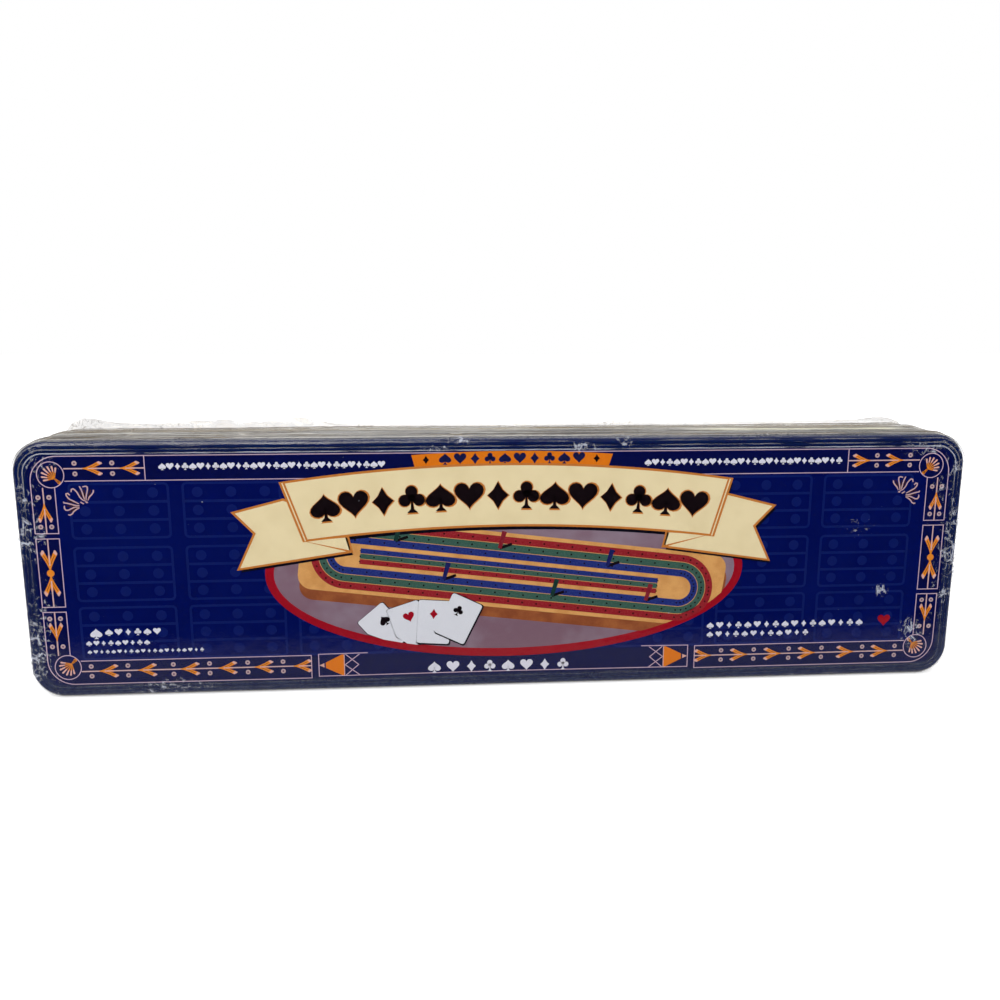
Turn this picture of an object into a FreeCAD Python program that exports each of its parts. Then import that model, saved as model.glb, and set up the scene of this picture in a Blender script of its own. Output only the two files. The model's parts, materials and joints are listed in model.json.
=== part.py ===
import FreeCAD, Part
import math
import os
from FreeCAD import Vector

# A long slip-lid game tin in clear film, standing on one long edge, with a cribbage set packed inside.
# X runs along the tin, +Y goes from the lid's face to the tin's back, +Z is up. Millimetres.
# The origin is on the surface the tin stands on, under the middle of its bounding box.

# ---- the tin ----
TIN_LENGTH = 399.0
TIN_HEIGHT = 108.4
TIN_DEPTH = 48.0
CORNER_R = 13.0
SHEET = 0.3                 # tinplate
LID_DEPTH = 30.0
SHOULDER_R = 4.0            # round between the lid's face and its skirt
BACK_EDGE_R = 3.0
LID_FIT = 0.3               # running gap between the lid's skirt and the base's wall
HEM_WIDTH = 3.0             # edge of the skirt folded back on itself, outwards
BEAD_R = 0.6                # rib round the base that stops the lid
SEAT_GAP = 0.3              # between pieces that lift away from each other
RIM_HEM_WIDTH = 2.5

# ---- the clear film ----
FILM_SHEET = 0.2
FILM_GAP = 0.15
FIN_HEIGHT = 2.0            # welded seam standing up along the back of the top edge
FIN_THICKNESS = 0.5
FIN_INSET = 1.2
FIN_END_MARGIN = 6.0

# ---- the formed tray ----
TRAY_SHEET = 0.5
TRAY_FIT = 0.3
TRAY_RIM_DROP = 0.5         # flange below the base's rim
RECESS_MARGIN = 13.0        # tin's side to the board's recess, along X
RECESS_MARGIN_Z = 6.7
RECESS_CORNER_R = 7.0
BOARD_FIT = 0.4
POCKET_FIT = 0.5
POCKET_SPARE_DEPTH = 3.0
POCKET_CORNER_R = 1.5
FINGER_WELL_WIDTH = 30.0
FINGER_WELL_MARGIN = 2.0
FINGER_WELL_R = 8.0
SWING_WELL_DEPTH = 8.0
SWING_WELL_CLEARANCE = 3.0

# ---- the playing cards, their box and the leaflet ----
CARD_LENGTH = 89.0
CARD_WIDTH = 63.5
DECK_THICKNESS = 15.5
CARD_CORNER_R = 3.5
DECK_PLAY = 0.7             # room round the deck inside its box
DECK_REST_GAP = 0.2
CARTON_SHEET = 0.5
THUMB_NOTCH_R = 9.0
CARDS_CENTRE_X = -60.0
LEAFLET_LENGTH = 180.0
LEAFLET_MARGIN = 5.5        # recess's edge to the leaflet, along Z
LEAFLET_THICKNESS = 0.8
LEAFLET_SPLIT = 0.2
LEAFLET_CENTRE_X = 30.0
LID_HEADROOM = 4.6          # lid's inside to the leaflet

# ---- the board ----
BOARD_CORNER_R = 6.0
BOARD_EDGE_R = 2.0
HOLE_R = 1.6
HOLE_DEPTH = 8.0
LANES = 3
LANE_PITCH = 6.0
STEPS = 120
GROUP = 5
GROUP_GAP = 3.0
RUN_EDGE_MARGIN = 14.0      # board's long edge to the middle lane
RIGHT_TURN_MARGIN = 48.0    # board's right end to the centre of the large turn
LEFT_TURN_MARGIN = 36.0
START_HOLES = 2
FINISH_STEP = 7.0
MIDDLE_RUN_MARGIN = 11.0

# ---- the pegs and their compartment ----
PEG_LENGTH = 26.0
PEG_HEAD_LENGTH = 6.0
PEG_HEAD_R = 1.9
PEG_ROOT_R = 1.45
PEG_TIP_R = 1.15
PEG_GAP = 0.1
PEG_COLOURS = ("red", "green", "blue")
PEGS_PER_COLOUR = 3
PEG_ROWS = 5
COMPARTMENT_LENGTH = 29.0
COMPARTMENT_HEIGHT = 28.0
COMPARTMENT_DEPTH = 10.0
COMPARTMENT_CORNER_R = 3.0
PIVOT_FROM_TURN = 4.0
PIVOT_TO_COMPARTMENT = 7.0
COVER_SHEET = 0.8
COVER_LAP = 3.0
COVER_TAIL = 7.0
COVER_CORNER_R = 4.0
COVER_GAP = 0.05
COVER_NOTCH_R = 5.0
SCREW_R = 1.5
SCREW_FIT = 0.05
SCREW_LENGTH = 8.0
SCREW_HEAD_R = 3.0
SCREW_HEAD_HEIGHT = 1.5
SCREW_SLOT_WIDTH = 0.7
SCREW_SLOT_DEPTH = 0.7

# ---- places worked out from the sizes above ----
FILM_STANDOFF = SHEET + FILM_GAP                    # tin's wall to the film's inside, past the folded hem
FILM_OUTSET = FILM_STANDOFF + FILM_SHEET
CENTRE_Z = TIN_HEIGHT / 2 + FILM_OUTSET
FRONT_Y = -TIN_DEPTH / 2
BACK_Y = TIN_DEPTH / 2
LID_INSIDE_Y = FRONT_Y + SHEET
HEM_Y = FRONT_Y + LID_DEPTH
BEAD_Y = HEM_Y + SEAT_GAP + BEAD_R
FLOOR_Y = BACK_Y - SHEET
BASE_LENGTH = TIN_LENGTH - 2 * (SHEET + LID_FIT)
BASE_HEIGHT = TIN_HEIGHT - 2 * (SHEET + LID_FIT)
BASE_CORNER_R = CORNER_R - SHEET - LID_FIT
RIM_Y = FRONT_Y + SHOULDER_R + SEAT_GAP
TRAY_RIM_Y = RIM_Y + TRAY_RIM_DROP
RIM_INSET = 2 * SHEET + TRAY_FIT                    # wall, folded hem and the gap to the tray
RECESS_LENGTH = TIN_LENGTH - 2 * RECESS_MARGIN
RECESS_HEIGHT = TIN_HEIGHT - 2 * RECESS_MARGIN_Z
LEAFLET_HEIGHT = RECESS_HEIGHT - 2 * LEAFLET_MARGIN
CARTON_LENGTH = CARD_LENGTH + 2 * (DECK_PLAY + CARTON_SHEET)
CARTON_WIDTH = CARD_WIDTH + 2 * (DECK_PLAY + CARTON_SHEET)
CARTON_THICKNESS = DECK_THICKNESS + 2 * (DECK_PLAY + CARTON_SHEET)
POCKET_FLOOR_Y = FLOOR_Y - TRAY_SHEET
CARTON_BACK_Y = POCKET_FLOOR_Y - SEAT_GAP
CARTON_FRONT_Y = CARTON_BACK_Y - CARTON_THICKNESS
PLATEAU_Y = CARTON_FRONT_Y - POCKET_SPARE_DEPTH     # what the board rests on
POCKET_LENGTH = CARTON_LENGTH + 2 * POCKET_FIT
POCKET_HEIGHT = CARTON_WIDTH + 2 * POCKET_FIT
FINGER_WELL_REACH = RECESS_HEIGHT - 2 * FINGER_WELL_MARGIN
BOARD_BACK_Y = PLATEAU_Y - SEAT_GAP
LEAFLET_FRONT_Y = LID_INSIDE_Y + LID_HEADROOM
BOARD_FRONT_Y = LEAFLET_FRONT_Y + LEAFLET_THICKNESS + SEAT_GAP
BOARD_LENGTH = RECESS_LENGTH - 2 * BOARD_FIT
BOARD_HEIGHT = RECESS_HEIGHT - 2 * BOARD_FIT
RUN_Z = BOARD_HEIGHT / 2 - RUN_EDGE_MARGIN
RIGHT_TURN_X = BOARD_LENGTH / 2 - RIGHT_TURN_MARGIN
LEFT_TURN_X = LEFT_TURN_MARGIN - BOARD_LENGTH / 2
PIVOT_X = RIGHT_TURN_X + PIVOT_FROM_TURN
COMPARTMENT_RIGHT_X = PIVOT_X - PIVOT_TO_COMPARTMENT
COMPARTMENT_X = COMPARTMENT_RIGHT_X - COMPARTMENT_LENGTH / 2
COVER_REACH = PIVOT_TO_COMPARTMENT + COMPARTMENT_LENGTH + COVER_LAP
COVER_HALF_HEIGHT = COMPARTMENT_HEIGHT / 2 + COVER_LAP
MIDDLE_END_X = COMPARTMENT_RIGHT_X - COMPARTMENT_LENGTH - MIDDLE_RUN_MARGIN


def outline(length, height, radius, y, x=0.0, z=CENTRE_Z):
    """A rounded rectangle in the plane at y: four straight runs joined by four quarter circles."""
    half_l = length / 2
    half_h = height / 2
    corners = [(1, 1), (-1, 1), (-1, -1), (1, -1)]
    edges = []
    for index, (sx, sz) in enumerate(corners):
        centre = Vector(x + sx * (half_l - radius), y, z + sz * (half_h - radius))
        first = math.radians(90 * index)
        points = []
        for angle in (first, first + math.pi / 4, first + math.pi / 2):
            points.append(centre + Vector(math.cos(angle), 0, math.sin(angle)) * radius)
        edges.append(Part.Arc(*points).toShape())
    runs = []
    for index, edge in enumerate(edges):
        following = edges[(index + 1) % len(edges)]
        start = edge.valueAt(edge.LastParameter)
        end = following.valueAt(following.FirstParameter)
        runs += [edge, Part.LineSegment(start, end).toShape()]
    return Part.Wire(runs)


def block(length, height, radius, y_from, y_to, x=0.0, z=CENTRE_Z):
    """A solid with a rounded rectangular section, running along Y."""
    face = Part.Face(outline(length, height, radius, y_from, x, z))
    return face.extrude(Vector(0, y_to - y_from, 0))


def edges_at(shape, y):
    """The edges that lie in the plane at y."""
    return [e for e in shape.Edges if abs(e.BoundBox.YMin - y) < 1e-6 and abs(e.BoundBox.YMax - y) < 1e-6]


def rounded(shape, radius, *planes):
    """The shape with its edges in the given planes rounded."""
    picked = [edge for y in planes for edge in edges_at(shape, y)]
    return shape.makeFillet(radius, picked)


def ring(length, height, radius, wall, y_from, y_to):
    """A band of one wall thickness round a rounded rectangle."""
    outer = block(length, height, radius, y_from, y_to)
    return outer.cut(block(length - 2 * wall, height - 2 * wall, radius - wall, y_from, y_to))


def pan(length, height, radius, wall, closed_y, open_y, edge_r):
    """An open shell: a flat panel at closed_y, a rounded edge and a wall that runs to open_y."""
    inward = math.copysign(wall, open_y - closed_y)
    outer = rounded(block(length, height, radius, closed_y, open_y), edge_r, closed_y)
    hollow = block(length - 2 * wall, height - 2 * wall, radius - wall, closed_y + inward, open_y + inward)
    return outer.cut(rounded(hollow, edge_r - wall, closed_y + inward))


def make_lid():
    """The printed lid: a flat face, a rounded shoulder and a skirt with its edge folded outwards."""
    shell = pan(TIN_LENGTH, TIN_HEIGHT, CORNER_R, SHEET, FRONT_Y, HEM_Y, SHOULDER_R)
    hem = ring(TIN_LENGTH + 2 * SHEET, TIN_HEIGHT + 2 * SHEET, CORNER_R + SHEET, 2 * SHEET, HEM_Y - HEM_WIDTH, HEM_Y)
    return shell.fuse(hem).removeSplitter()


def make_base():
    """The base pan, with a rib that stops the lid and a rim folded inwards."""
    shell = pan(BASE_LENGTH, BASE_HEIGHT, BASE_CORNER_R, SHEET, BACK_Y, RIM_Y, BACK_EDGE_R)
    near = BEAD_Y - BEAD_R
    far = BEAD_Y + BEAD_R
    bead = block(BASE_LENGTH + 2 * BEAD_R, BASE_HEIGHT + 2 * BEAD_R, BASE_CORNER_R + BEAD_R, near, far)
    bead = rounded(bead, 0.9 * BEAD_R, near, far)
    inset = 2 * SHEET
    bead = bead.cut(block(BASE_LENGTH - inset, BASE_HEIGHT - inset, BASE_CORNER_R - SHEET, near, far))
    hem = ring(BASE_LENGTH, BASE_HEIGHT, BASE_CORNER_R, 2 * SHEET, RIM_Y, RIM_Y + RIM_HEM_WIDTH)
    return shell.fuse([bead, hem]).removeSplitter()


def film_shell(closed_y, open_y, edge_r):
    """One half of the film: a skin just outside the tin."""
    length = TIN_LENGTH + 2 * FILM_OUTSET
    height = TIN_HEIGHT + 2 * FILM_OUTSET
    return pan(length, height, CORNER_R + FILM_OUTSET, FILM_SHEET, closed_y, open_y, edge_r + FILM_OUTSET)


def make_film_front():
    """The film over the lid, as far back as the lid's folded edge."""
    return film_shell(FRONT_Y - FILM_OUTSET, HEM_Y, SHOULDER_R)


def make_film_back():
    """The film over the base, with its welded seam standing up behind the top edge."""
    back = BACK_Y + FILM_OUTSET
    shell = film_shell(back, HEM_Y + SEAT_GAP, BACK_EDGE_R)
    length = TIN_LENGTH - 2 * (CORNER_R + FIN_END_MARGIN)
    top = CENTRE_Z + TIN_HEIGHT / 2 + FILM_OUTSET
    root = top - FILM_SHEET
    y = back - BACK_EDGE_R - FILM_OUTSET - FIN_INSET - FIN_THICKNESS
    fin = Part.makeBox(length, FIN_THICKNESS, top + FIN_HEIGHT - root, Vector(-length / 2, y, root))
    return shell.fuse(fin).removeSplitter()


def tray_hollows(grow):
    """The tray's recess, pocket and wells, grown sideways and downwards by the given amount."""
    front = TRAY_RIM_Y
    swing_reach = 2 * (COVER_REACH + SWING_WELL_CLEARANCE)
    swing_left = PIVOT_X - swing_reach / 2
    swing_right = PIVOT_X + COVER_HALF_HEIGHT + SWING_WELL_CLEARANCE
    well_length = swing_right - swing_left
    well_floor = PLATEAU_Y + SWING_WELL_DEPTH
    well_height = RECESS_HEIGHT - 2 * FINGER_WELL_MARGIN
    hollows = [
        (RECESS_LENGTH, RECESS_HEIGHT, RECESS_CORNER_R, PLATEAU_Y, 0.0),
        (POCKET_LENGTH, POCKET_HEIGHT, POCKET_CORNER_R, POCKET_FLOOR_Y, CARDS_CENTRE_X),
        (FINGER_WELL_WIDTH, FINGER_WELL_REACH, FINGER_WELL_R, POCKET_FLOOR_Y, CARDS_CENTRE_X),
        (well_length, well_height, POCKET_CORNER_R, well_floor, (swing_left + swing_right) / 2),
    ]
    solids = []
    for length, height, radius, floor, x in hollows:
        solids.append(block(length + 2 * grow, height + 2 * grow, radius + grow, front, floor + grow, x))
    return solids[0].fuse(solids[1:])


def make_insert_tray():
    """The tray formed from one thin sheet: a flange, the board's recess, the card pocket and two kinds of well."""
    length = BASE_LENGTH - 2 * RIM_INSET
    height = BASE_HEIGHT - 2 * RIM_INSET
    flange = block(length, height, BASE_CORNER_R - RIM_INSET, TRAY_RIM_Y, TRAY_RIM_Y + TRAY_SHEET)
    return flange.fuse(tray_hollows(TRAY_SHEET)).cut(tray_hollows(0.0)).removeSplitter()


def track_lengths():
    """The lengths of the track's five stretches, along its middle lane."""
    run = RIGHT_TURN_X - LEFT_TURN_X
    return [run, math.pi * RUN_Z, run, math.pi * RUN_Z / 2, MIDDLE_END_X - LEFT_TURN_X]


def track_point(distance, offset):
    """A point of the track: along the top, round the right end, back along the bottom, up to the middle run."""
    run, turn, back, small_turn, _ = track_lengths()
    if distance < run:
        return LEFT_TURN_X + distance, RUN_Z + offset
    distance -= run
    if distance < turn:
        angle = math.pi / 2 - distance / RUN_Z
        radius = RUN_Z + offset
        return RIGHT_TURN_X + radius * math.cos(angle), radius * math.sin(angle)
    distance -= turn
    if distance < back:
        return RIGHT_TURN_X - distance, -RUN_Z - offset
    distance -= back
    if distance < small_turn:
        angle = -math.pi / 2 - distance / (RUN_Z / 2)
        radius = RUN_Z / 2 + offset
        return LEFT_TURN_X + radius * math.cos(angle), -RUN_Z / 2 + radius * math.sin(angle)
    return LEFT_TURN_X + distance - small_turn, offset


def peg_hole_places():
    """The centre of every peg hole on the board's face, as X and height above the board's middle."""
    total = sum(track_lengths())
    gaps = STEPS // GROUP - 1
    pitch = (total - gaps * GROUP_GAP) / (STEPS - 1)
    places = []
    for lane in range(LANES):
        offset = (lane - (LANES - 1) / 2) * LANE_PITCH
        for step in range(-START_HOLES, STEPS):
            gap = GROUP_GAP * (step // GROUP) if step >= 0 else -GROUP_GAP
            places.append(track_point(step * pitch + gap, offset))
    places.append((MIDDLE_END_X + FINISH_STEP, 0.0))
    return places


def along_y(radius, y_from, y_to, x, z):
    """A cylinder along Y."""
    return Part.makeCylinder(radius, y_to - y_from, Vector(x, y_from, z), Vector(0, 1, 0))


def make_board():
    """The wooden board: three lanes of peg holes in its face, a peg compartment in its back."""
    body = block(BOARD_LENGTH, BOARD_HEIGHT, BOARD_CORNER_R, BOARD_FRONT_Y, BOARD_BACK_Y)
    body = rounded(body, BOARD_EDGE_R, BOARD_FRONT_Y)
    cutters = []
    for x, z in peg_hole_places():
        cutters.append(along_y(HOLE_R, BOARD_FRONT_Y, BOARD_FRONT_Y + HOLE_DEPTH, x, CENTRE_Z + z))
    cutters.append(block(COMPARTMENT_LENGTH, COMPARTMENT_HEIGHT, COMPARTMENT_CORNER_R,
                         BOARD_BACK_Y - COMPARTMENT_DEPTH, BOARD_BACK_Y, COMPARTMENT_X))
    cutters.append(along_y(SCREW_R + SCREW_FIT, BOARD_BACK_Y - SCREW_LENGTH, BOARD_BACK_Y, PIVOT_X, CENTRE_Z))
    return body.cut(cutters)


def make_cover():
    """The thin plate over the peg compartment, with the hole it swings on and a fingernail notch."""
    front = BOARD_BACK_Y + COVER_GAP
    back = front + COVER_SHEET
    length = COVER_REACH + COVER_TAIL
    x = PIVOT_X + (COVER_TAIL - COVER_REACH) / 2
    plate = block(length, 2 * COVER_HALF_HEIGHT, COVER_CORNER_R, front, back, x)
    hole = along_y(SCREW_R + SCREW_FIT, front, back, PIVOT_X, CENTRE_Z)
    notch = along_y(COVER_NOTCH_R, front, back, PIVOT_X - COVER_REACH - COVER_NOTCH_R / 2, CENTRE_Z)
    return plate.cut([hole, notch])


def make_screw():
    """The round-headed screw that holds the cover: its shank is the cover's pivot."""
    head_y = BOARD_BACK_Y + COVER_SHEET + 2 * COVER_GAP
    shank = along_y(SCREW_R, BOARD_BACK_Y - SCREW_LENGTH, head_y, PIVOT_X, CENTRE_Z)
    head = along_y(SCREW_HEAD_R, head_y, head_y + SCREW_HEAD_HEIGHT, PIVOT_X, CENTRE_Z)
    head = rounded(head, SCREW_HEAD_HEIGHT / 2, head_y + SCREW_HEAD_HEIGHT)
    slot = Part.makeBox(2 * SCREW_HEAD_R, SCREW_SLOT_DEPTH, SCREW_SLOT_WIDTH,
                        Vector(PIVOT_X - SCREW_HEAD_R, head_y + SCREW_HEAD_HEIGHT - SCREW_SLOT_DEPTH,
                               CENTRE_Z - SCREW_SLOT_WIDTH / 2))
    return shank.fuse(head).cut(slot)


def make_peg(row, layer):
    """One peg lying along X in the compartment: a round-ended head and a tapered shank."""
    pitch = 2 * PEG_HEAD_R + PEG_GAP
    y = BOARD_BACK_Y - COMPARTMENT_DEPTH + pitch * (layer + 0.5)
    z = CENTRE_Z - COMPARTMENT_HEIGHT / 2 + pitch * (row + 0.5)
    left = COMPARTMENT_X - PEG_LENGTH / 2
    neck = PEG_HEAD_LENGTH - PEG_HEAD_R
    shank_end = PEG_LENGTH - PEG_TIP_R
    diagonal = math.sqrt(0.5)
    crown = Part.Arc(Vector(0, 0, 0), Vector(PEG_HEAD_R * (1 - diagonal), 0, PEG_HEAD_R * diagonal),
                     Vector(PEG_HEAD_R, 0, PEG_HEAD_R))
    tip = Part.Arc(Vector(shank_end, 0, PEG_TIP_R),
                   Vector(shank_end + PEG_TIP_R * diagonal, 0, PEG_TIP_R * diagonal), Vector(PEG_LENGTH, 0, 0))
    corners = [Vector(PEG_HEAD_R, 0, PEG_HEAD_R), Vector(neck + PEG_HEAD_R, 0, PEG_HEAD_R),
               Vector(neck + PEG_HEAD_R, 0, PEG_ROOT_R), Vector(shank_end, 0, PEG_TIP_R)]
    edges = [crown.toShape()]
    edges += [Part.LineSegment(a, b).toShape() for a, b in zip(corners, corners[1:])]
    edges += [tip.toShape(), Part.LineSegment(Vector(PEG_LENGTH, 0, 0), Vector(0, 0, 0)).toShape()]
    peg = Part.Face(Part.Wire(edges)).revolve(Vector(0, 0, 0), Vector(1, 0, 0), 360)
    peg.translate(Vector(left, y, z))
    return peg


def make_tuck_box():
    """The folded carton for the cards, with a thumb notch in its front at the opening end."""
    outer = block(CARTON_LENGTH, CARTON_WIDTH, CARTON_SHEET, CARTON_FRONT_Y, CARTON_BACK_Y, CARDS_CENTRE_X)
    inside_length = CARTON_LENGTH - 2 * CARTON_SHEET
    inside = Part.makeBox(inside_length, CARTON_THICKNESS - 2 * CARTON_SHEET, CARTON_WIDTH - 2 * CARTON_SHEET,
                          Vector(CARDS_CENTRE_X - inside_length / 2, CARTON_FRONT_Y + CARTON_SHEET,
                                 CENTRE_Z - CARTON_WIDTH / 2 + CARTON_SHEET))
    end = CARDS_CENTRE_X + inside_length / 2
    notch = along_y(THUMB_NOTCH_R, CARTON_FRONT_Y, CARTON_FRONT_Y + CARTON_SHEET, end, CENTRE_Z)
    kept = Part.makeBox(2 * THUMB_NOTCH_R, CARTON_SHEET, 2 * THUMB_NOTCH_R,
                        Vector(end, CARTON_FRONT_Y, CENTRE_Z - THUMB_NOTCH_R))
    return outer.cut([inside, notch.cut(kept)])


def make_deck():
    """The deck as one block of cards, lying on the lower side of its box."""
    z = CENTRE_Z - DECK_PLAY + DECK_REST_GAP
    front = CARTON_FRONT_Y + CARTON_SHEET + DECK_PLAY
    return block(CARD_LENGTH, CARD_WIDTH, CARD_CORNER_R, front, front + DECK_THICKNESS, CARDS_CENTRE_X, z)


def make_leaflet():
    """The rules: one sheet folded once, its two leaves joined along the left side."""
    left = LEAFLET_CENTRE_X - LEAFLET_LENGTH / 2
    bottom = CENTRE_Z - LEAFLET_HEIGHT / 2
    leaf = (LEAFLET_THICKNESS - LEAFLET_SPLIT) / 2
    folded = Part.makeBox(LEAFLET_LENGTH, LEAFLET_THICKNESS, LEAFLET_HEIGHT, Vector(left, LEAFLET_FRONT_Y, bottom))
    split = Part.makeBox(LEAFLET_LENGTH - leaf, LEAFLET_SPLIT, LEAFLET_HEIGHT,
                         Vector(left + leaf, LEAFLET_FRONT_Y + leaf, bottom))
    return folded.cut(split)


def make_pegs():
    """Every peg by name, stacked from the compartment's lower side in two layers."""
    pegs = {}
    for index in range(len(PEG_COLOURS) * PEGS_PER_COLOUR):
        colour = PEG_COLOURS[index % len(PEG_COLOURS)]
        number = index // len(PEG_COLOURS) + 1
        pegs[f"peg_{colour}_{number}"] = make_peg(index % PEG_ROWS, index // PEG_ROWS)
    return pegs


def main():
    nodes = {
        "lid": make_lid(),
        "base": make_base(),
        "film_front": make_film_front(),
        "film_back": make_film_back(),
        "insert_tray": make_insert_tray(),
        "cribbage_board": make_board(),
        "compartment_cover": make_cover(),
        "cover_screw": make_screw(),
        "card_tuck_box": make_tuck_box(),
        "card_deck": make_deck(),
        "rules_leaflet": make_leaflet(),
    }
    nodes.update(make_pegs())
    os.makedirs("parts", exist_ok=True)
    for name, shape in nodes.items():
        shape.exportStep(f"parts/{name}.step")


main()
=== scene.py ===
"""A long slip-lid game tin, shrink-wrapped in clear film, with its cribbage set packed inside.

Shapes are worked out in millimetres in the part's frame: X along the tin, +Y from the lid's face to
the tin's back, +Z up. A shape turns into metres once, when its mesh is made.
"""

import json
import logging
import math
from collections.abc import Sequence
from dataclasses import dataclass, field
from enum import Enum
from functools import partialmethod

import bmesh
import bpy
import numpy as np
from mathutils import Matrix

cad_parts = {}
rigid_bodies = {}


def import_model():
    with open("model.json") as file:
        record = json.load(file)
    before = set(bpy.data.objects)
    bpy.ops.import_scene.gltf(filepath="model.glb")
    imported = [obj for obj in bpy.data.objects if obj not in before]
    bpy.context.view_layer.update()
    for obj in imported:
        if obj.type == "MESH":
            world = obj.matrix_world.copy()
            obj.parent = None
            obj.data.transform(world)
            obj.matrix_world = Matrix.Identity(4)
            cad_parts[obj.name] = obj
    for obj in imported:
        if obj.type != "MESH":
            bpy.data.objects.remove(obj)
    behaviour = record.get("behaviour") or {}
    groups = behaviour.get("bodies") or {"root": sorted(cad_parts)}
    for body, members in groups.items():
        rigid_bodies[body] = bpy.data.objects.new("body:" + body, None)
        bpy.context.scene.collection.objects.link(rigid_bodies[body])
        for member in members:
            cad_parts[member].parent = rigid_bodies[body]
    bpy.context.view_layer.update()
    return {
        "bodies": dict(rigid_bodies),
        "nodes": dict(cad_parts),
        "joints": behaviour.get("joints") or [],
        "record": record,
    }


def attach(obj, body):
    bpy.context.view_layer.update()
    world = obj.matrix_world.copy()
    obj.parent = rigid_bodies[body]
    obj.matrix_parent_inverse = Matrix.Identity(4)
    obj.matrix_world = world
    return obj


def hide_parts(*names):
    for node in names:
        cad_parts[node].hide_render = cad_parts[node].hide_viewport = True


MM = 0.001
LOG = logging.getLogger("game_tin")
Rgb = tuple[int, int, int]
Pair = tuple[float, float]
Triple = tuple[float, float, float]
Path = tuple[Pair, ...]
Outline = np.ndarray
Socket = bpy.types.NodeSocket
Material = bpy.types.Material
Mesh = bpy.types.Mesh


# ---------------------------------------------------------------- the tin's main sizes


@dataclass(frozen=True)
class TinSizes:
    """The sizes that every sub-assembly shares, in millimetres."""

    half_length: float = 199.5
    half_height: float = 54.2
    corner: float = 13.0
    sheet: float = 0.3
    face_y: float = -24.0
    hem_y: float = 6.0
    hem_width: float = 3.0
    back_y: float = 24.0
    base_inset: float = 0.6
    base_rim_y: float = -19.7
    base_hem: float = 2.5
    bead_y: float = 6.9
    bead_r: float = 0.6
    centre_z: float = 54.85


TIN = TinSizes()


# ---------------------------------------------------------------- shapes


def srgb(colour: Rgb) -> tuple[float, float, float, float]:
    """A colour in 8-bit sRGB as linear RGBA."""
    parts = [c / 255 for c in colour]
    linear = [c / 12.92 if c <= 0.04045 else ((c + 0.055) / 1.055) ** 2.4 for c in parts]
    return (linear[0], linear[1], linear[2], 1.0)


def grid_quads(rows: int, columns: int, wrap_rows: bool, wrap_columns: bool) -> np.ndarray:
    """The quads that join each point of a grid to its neighbours.

    Args:
        rows: Points along the first parameter.
        columns: Points along the second parameter.
        wrap_rows: Whether the last row joins the first.
        wrap_columns: Whether the last column joins the first.

    Returns:
        One row of four point numbers for each quad.
    """
    i, j = np.meshgrid(np.arange(rows if wrap_rows else rows - 1),
                       np.arange(columns if wrap_columns else columns - 1), indexing="ij")
    after_i, after_j = (i + 1) % rows, (j + 1) % columns
    corners = [i * columns + j, after_i * columns + j, after_i * columns + after_j, i * columns + after_j]
    return np.stack(corners, axis=-1).reshape(-1, 4)


def signed_volume(points: np.ndarray, faces: Sequence[Sequence[int]]) -> float:
    """Six times the volume inside the faces: the sum over each face's fan of a . (b x c).

    Args:
        points: Point places.
        faces: Point numbers of each face.

    Returns:
        A positive number when the faces point outwards.
    """
    triangles = [(f[0], f[k], f[k + 1]) for f in faces for k in range(1, len(f) - 1)]
    a, b, c = (points[np.array(triangles)[:, k]] for k in range(3))
    return float(np.einsum("ij,ij->", a, np.cross(b, c)))


@dataclass
class Shape:
    """Points and faces in millimetres, gathered part by part."""

    points: list[np.ndarray] = field(default_factory=list)
    faces: list[list[int]] = field(default_factory=list)
    count: int = 0

    def add(self, points: np.ndarray, faces: list[list[int]]) -> "Shape":
        """Adds a closed part, turned so that its faces point outwards.

        Args:
            points: Point places.
            faces: Point numbers of each face.

        Returns:
            This shape.
        """
        if signed_volume(points - points.mean(axis=0), faces) < 0:
            faces = [face[::-1] for face in faces]
        self.faces += [[k + self.count for k in face] for face in faces]
        self.points.append(points)
        self.count += len(points)
        return self

    def slab(self, outline: Outline, front: float, back: float) -> "Shape":
        """Adds a flat plate: the outline at two depths, joined by one quad for each side.

        Args:
            outline: Places in X and height above the tin's middle.
            front: Y of the face towards the viewer of the lid.
            back: Y of the other face.

        Returns:
            This shape.
        """
        x, z = outline.T
        if np.sum(x * np.roll(z, -1) - np.roll(x, -1) * z) < 0:
            x, z = x[::-1], z[::-1]
        n = len(x)
        i = np.arange(n)
        j = (i + 1) % n
        sides = np.column_stack([i, i + n, j + n, j]).tolist()
        rings = [np.column_stack([x, np.full(n, y), z + TIN.centre_z]) for y in (front, back)]
        return self.add(np.vstack(rings), [list(range(n)), list(range(2 * n - 1, n - 1, -1)), *sides])

    def band(self, path: Outline, width: float, front: float, back: float) -> "Shape":
        """Adds a flat closed ring of one width along a closed path.

        Each point moves half the width to either side along the mean normal of its two edges, divided
        by the cosine of half the bend, so that the ring keeps its width round corners.

        Args:
            path: The middle line.
            width: The ring's width.
            front: Y of the front face.
            back: Y of the back face.

        Returns:
            This shape.
        """
        offset = side_offsets(path, closed=True) * width / 2
        corners = [(path + offset, front), (path + offset, back), (path - offset, back), (path - offset, front)]
        rows = [np.column_stack([p[:, 0], np.full(len(p), y), p[:, 1] + TIN.centre_z]) for p, y in corners]
        points = np.stack(rows, axis=1).reshape(-1, 3)
        return self.add(points, grid_quads(len(path), 4, True, True).tolist())

    def shell(self, rows: np.ndarray) -> "Shape":
        """Adds a surface whose rows close on themselves, with a flat cap at each end row."""
        m, n, _ = rows.shape
        caps = [list(range(n)), list(range(m * n - 1, (m - 1) * n - 1, -1))]
        return self.add(rows.reshape(-1, 3), grid_quads(m, n, False, True).tolist() + caps)

    def mesh(self, name: str) -> Mesh:
        """The shape as a new mesh in metres."""
        made = bpy.data.meshes.new(name)
        made.from_pydata((np.vstack(self.points) * MM).tolist(), [], self.faces)
        made.validate()
        made.update()
        return made


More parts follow.
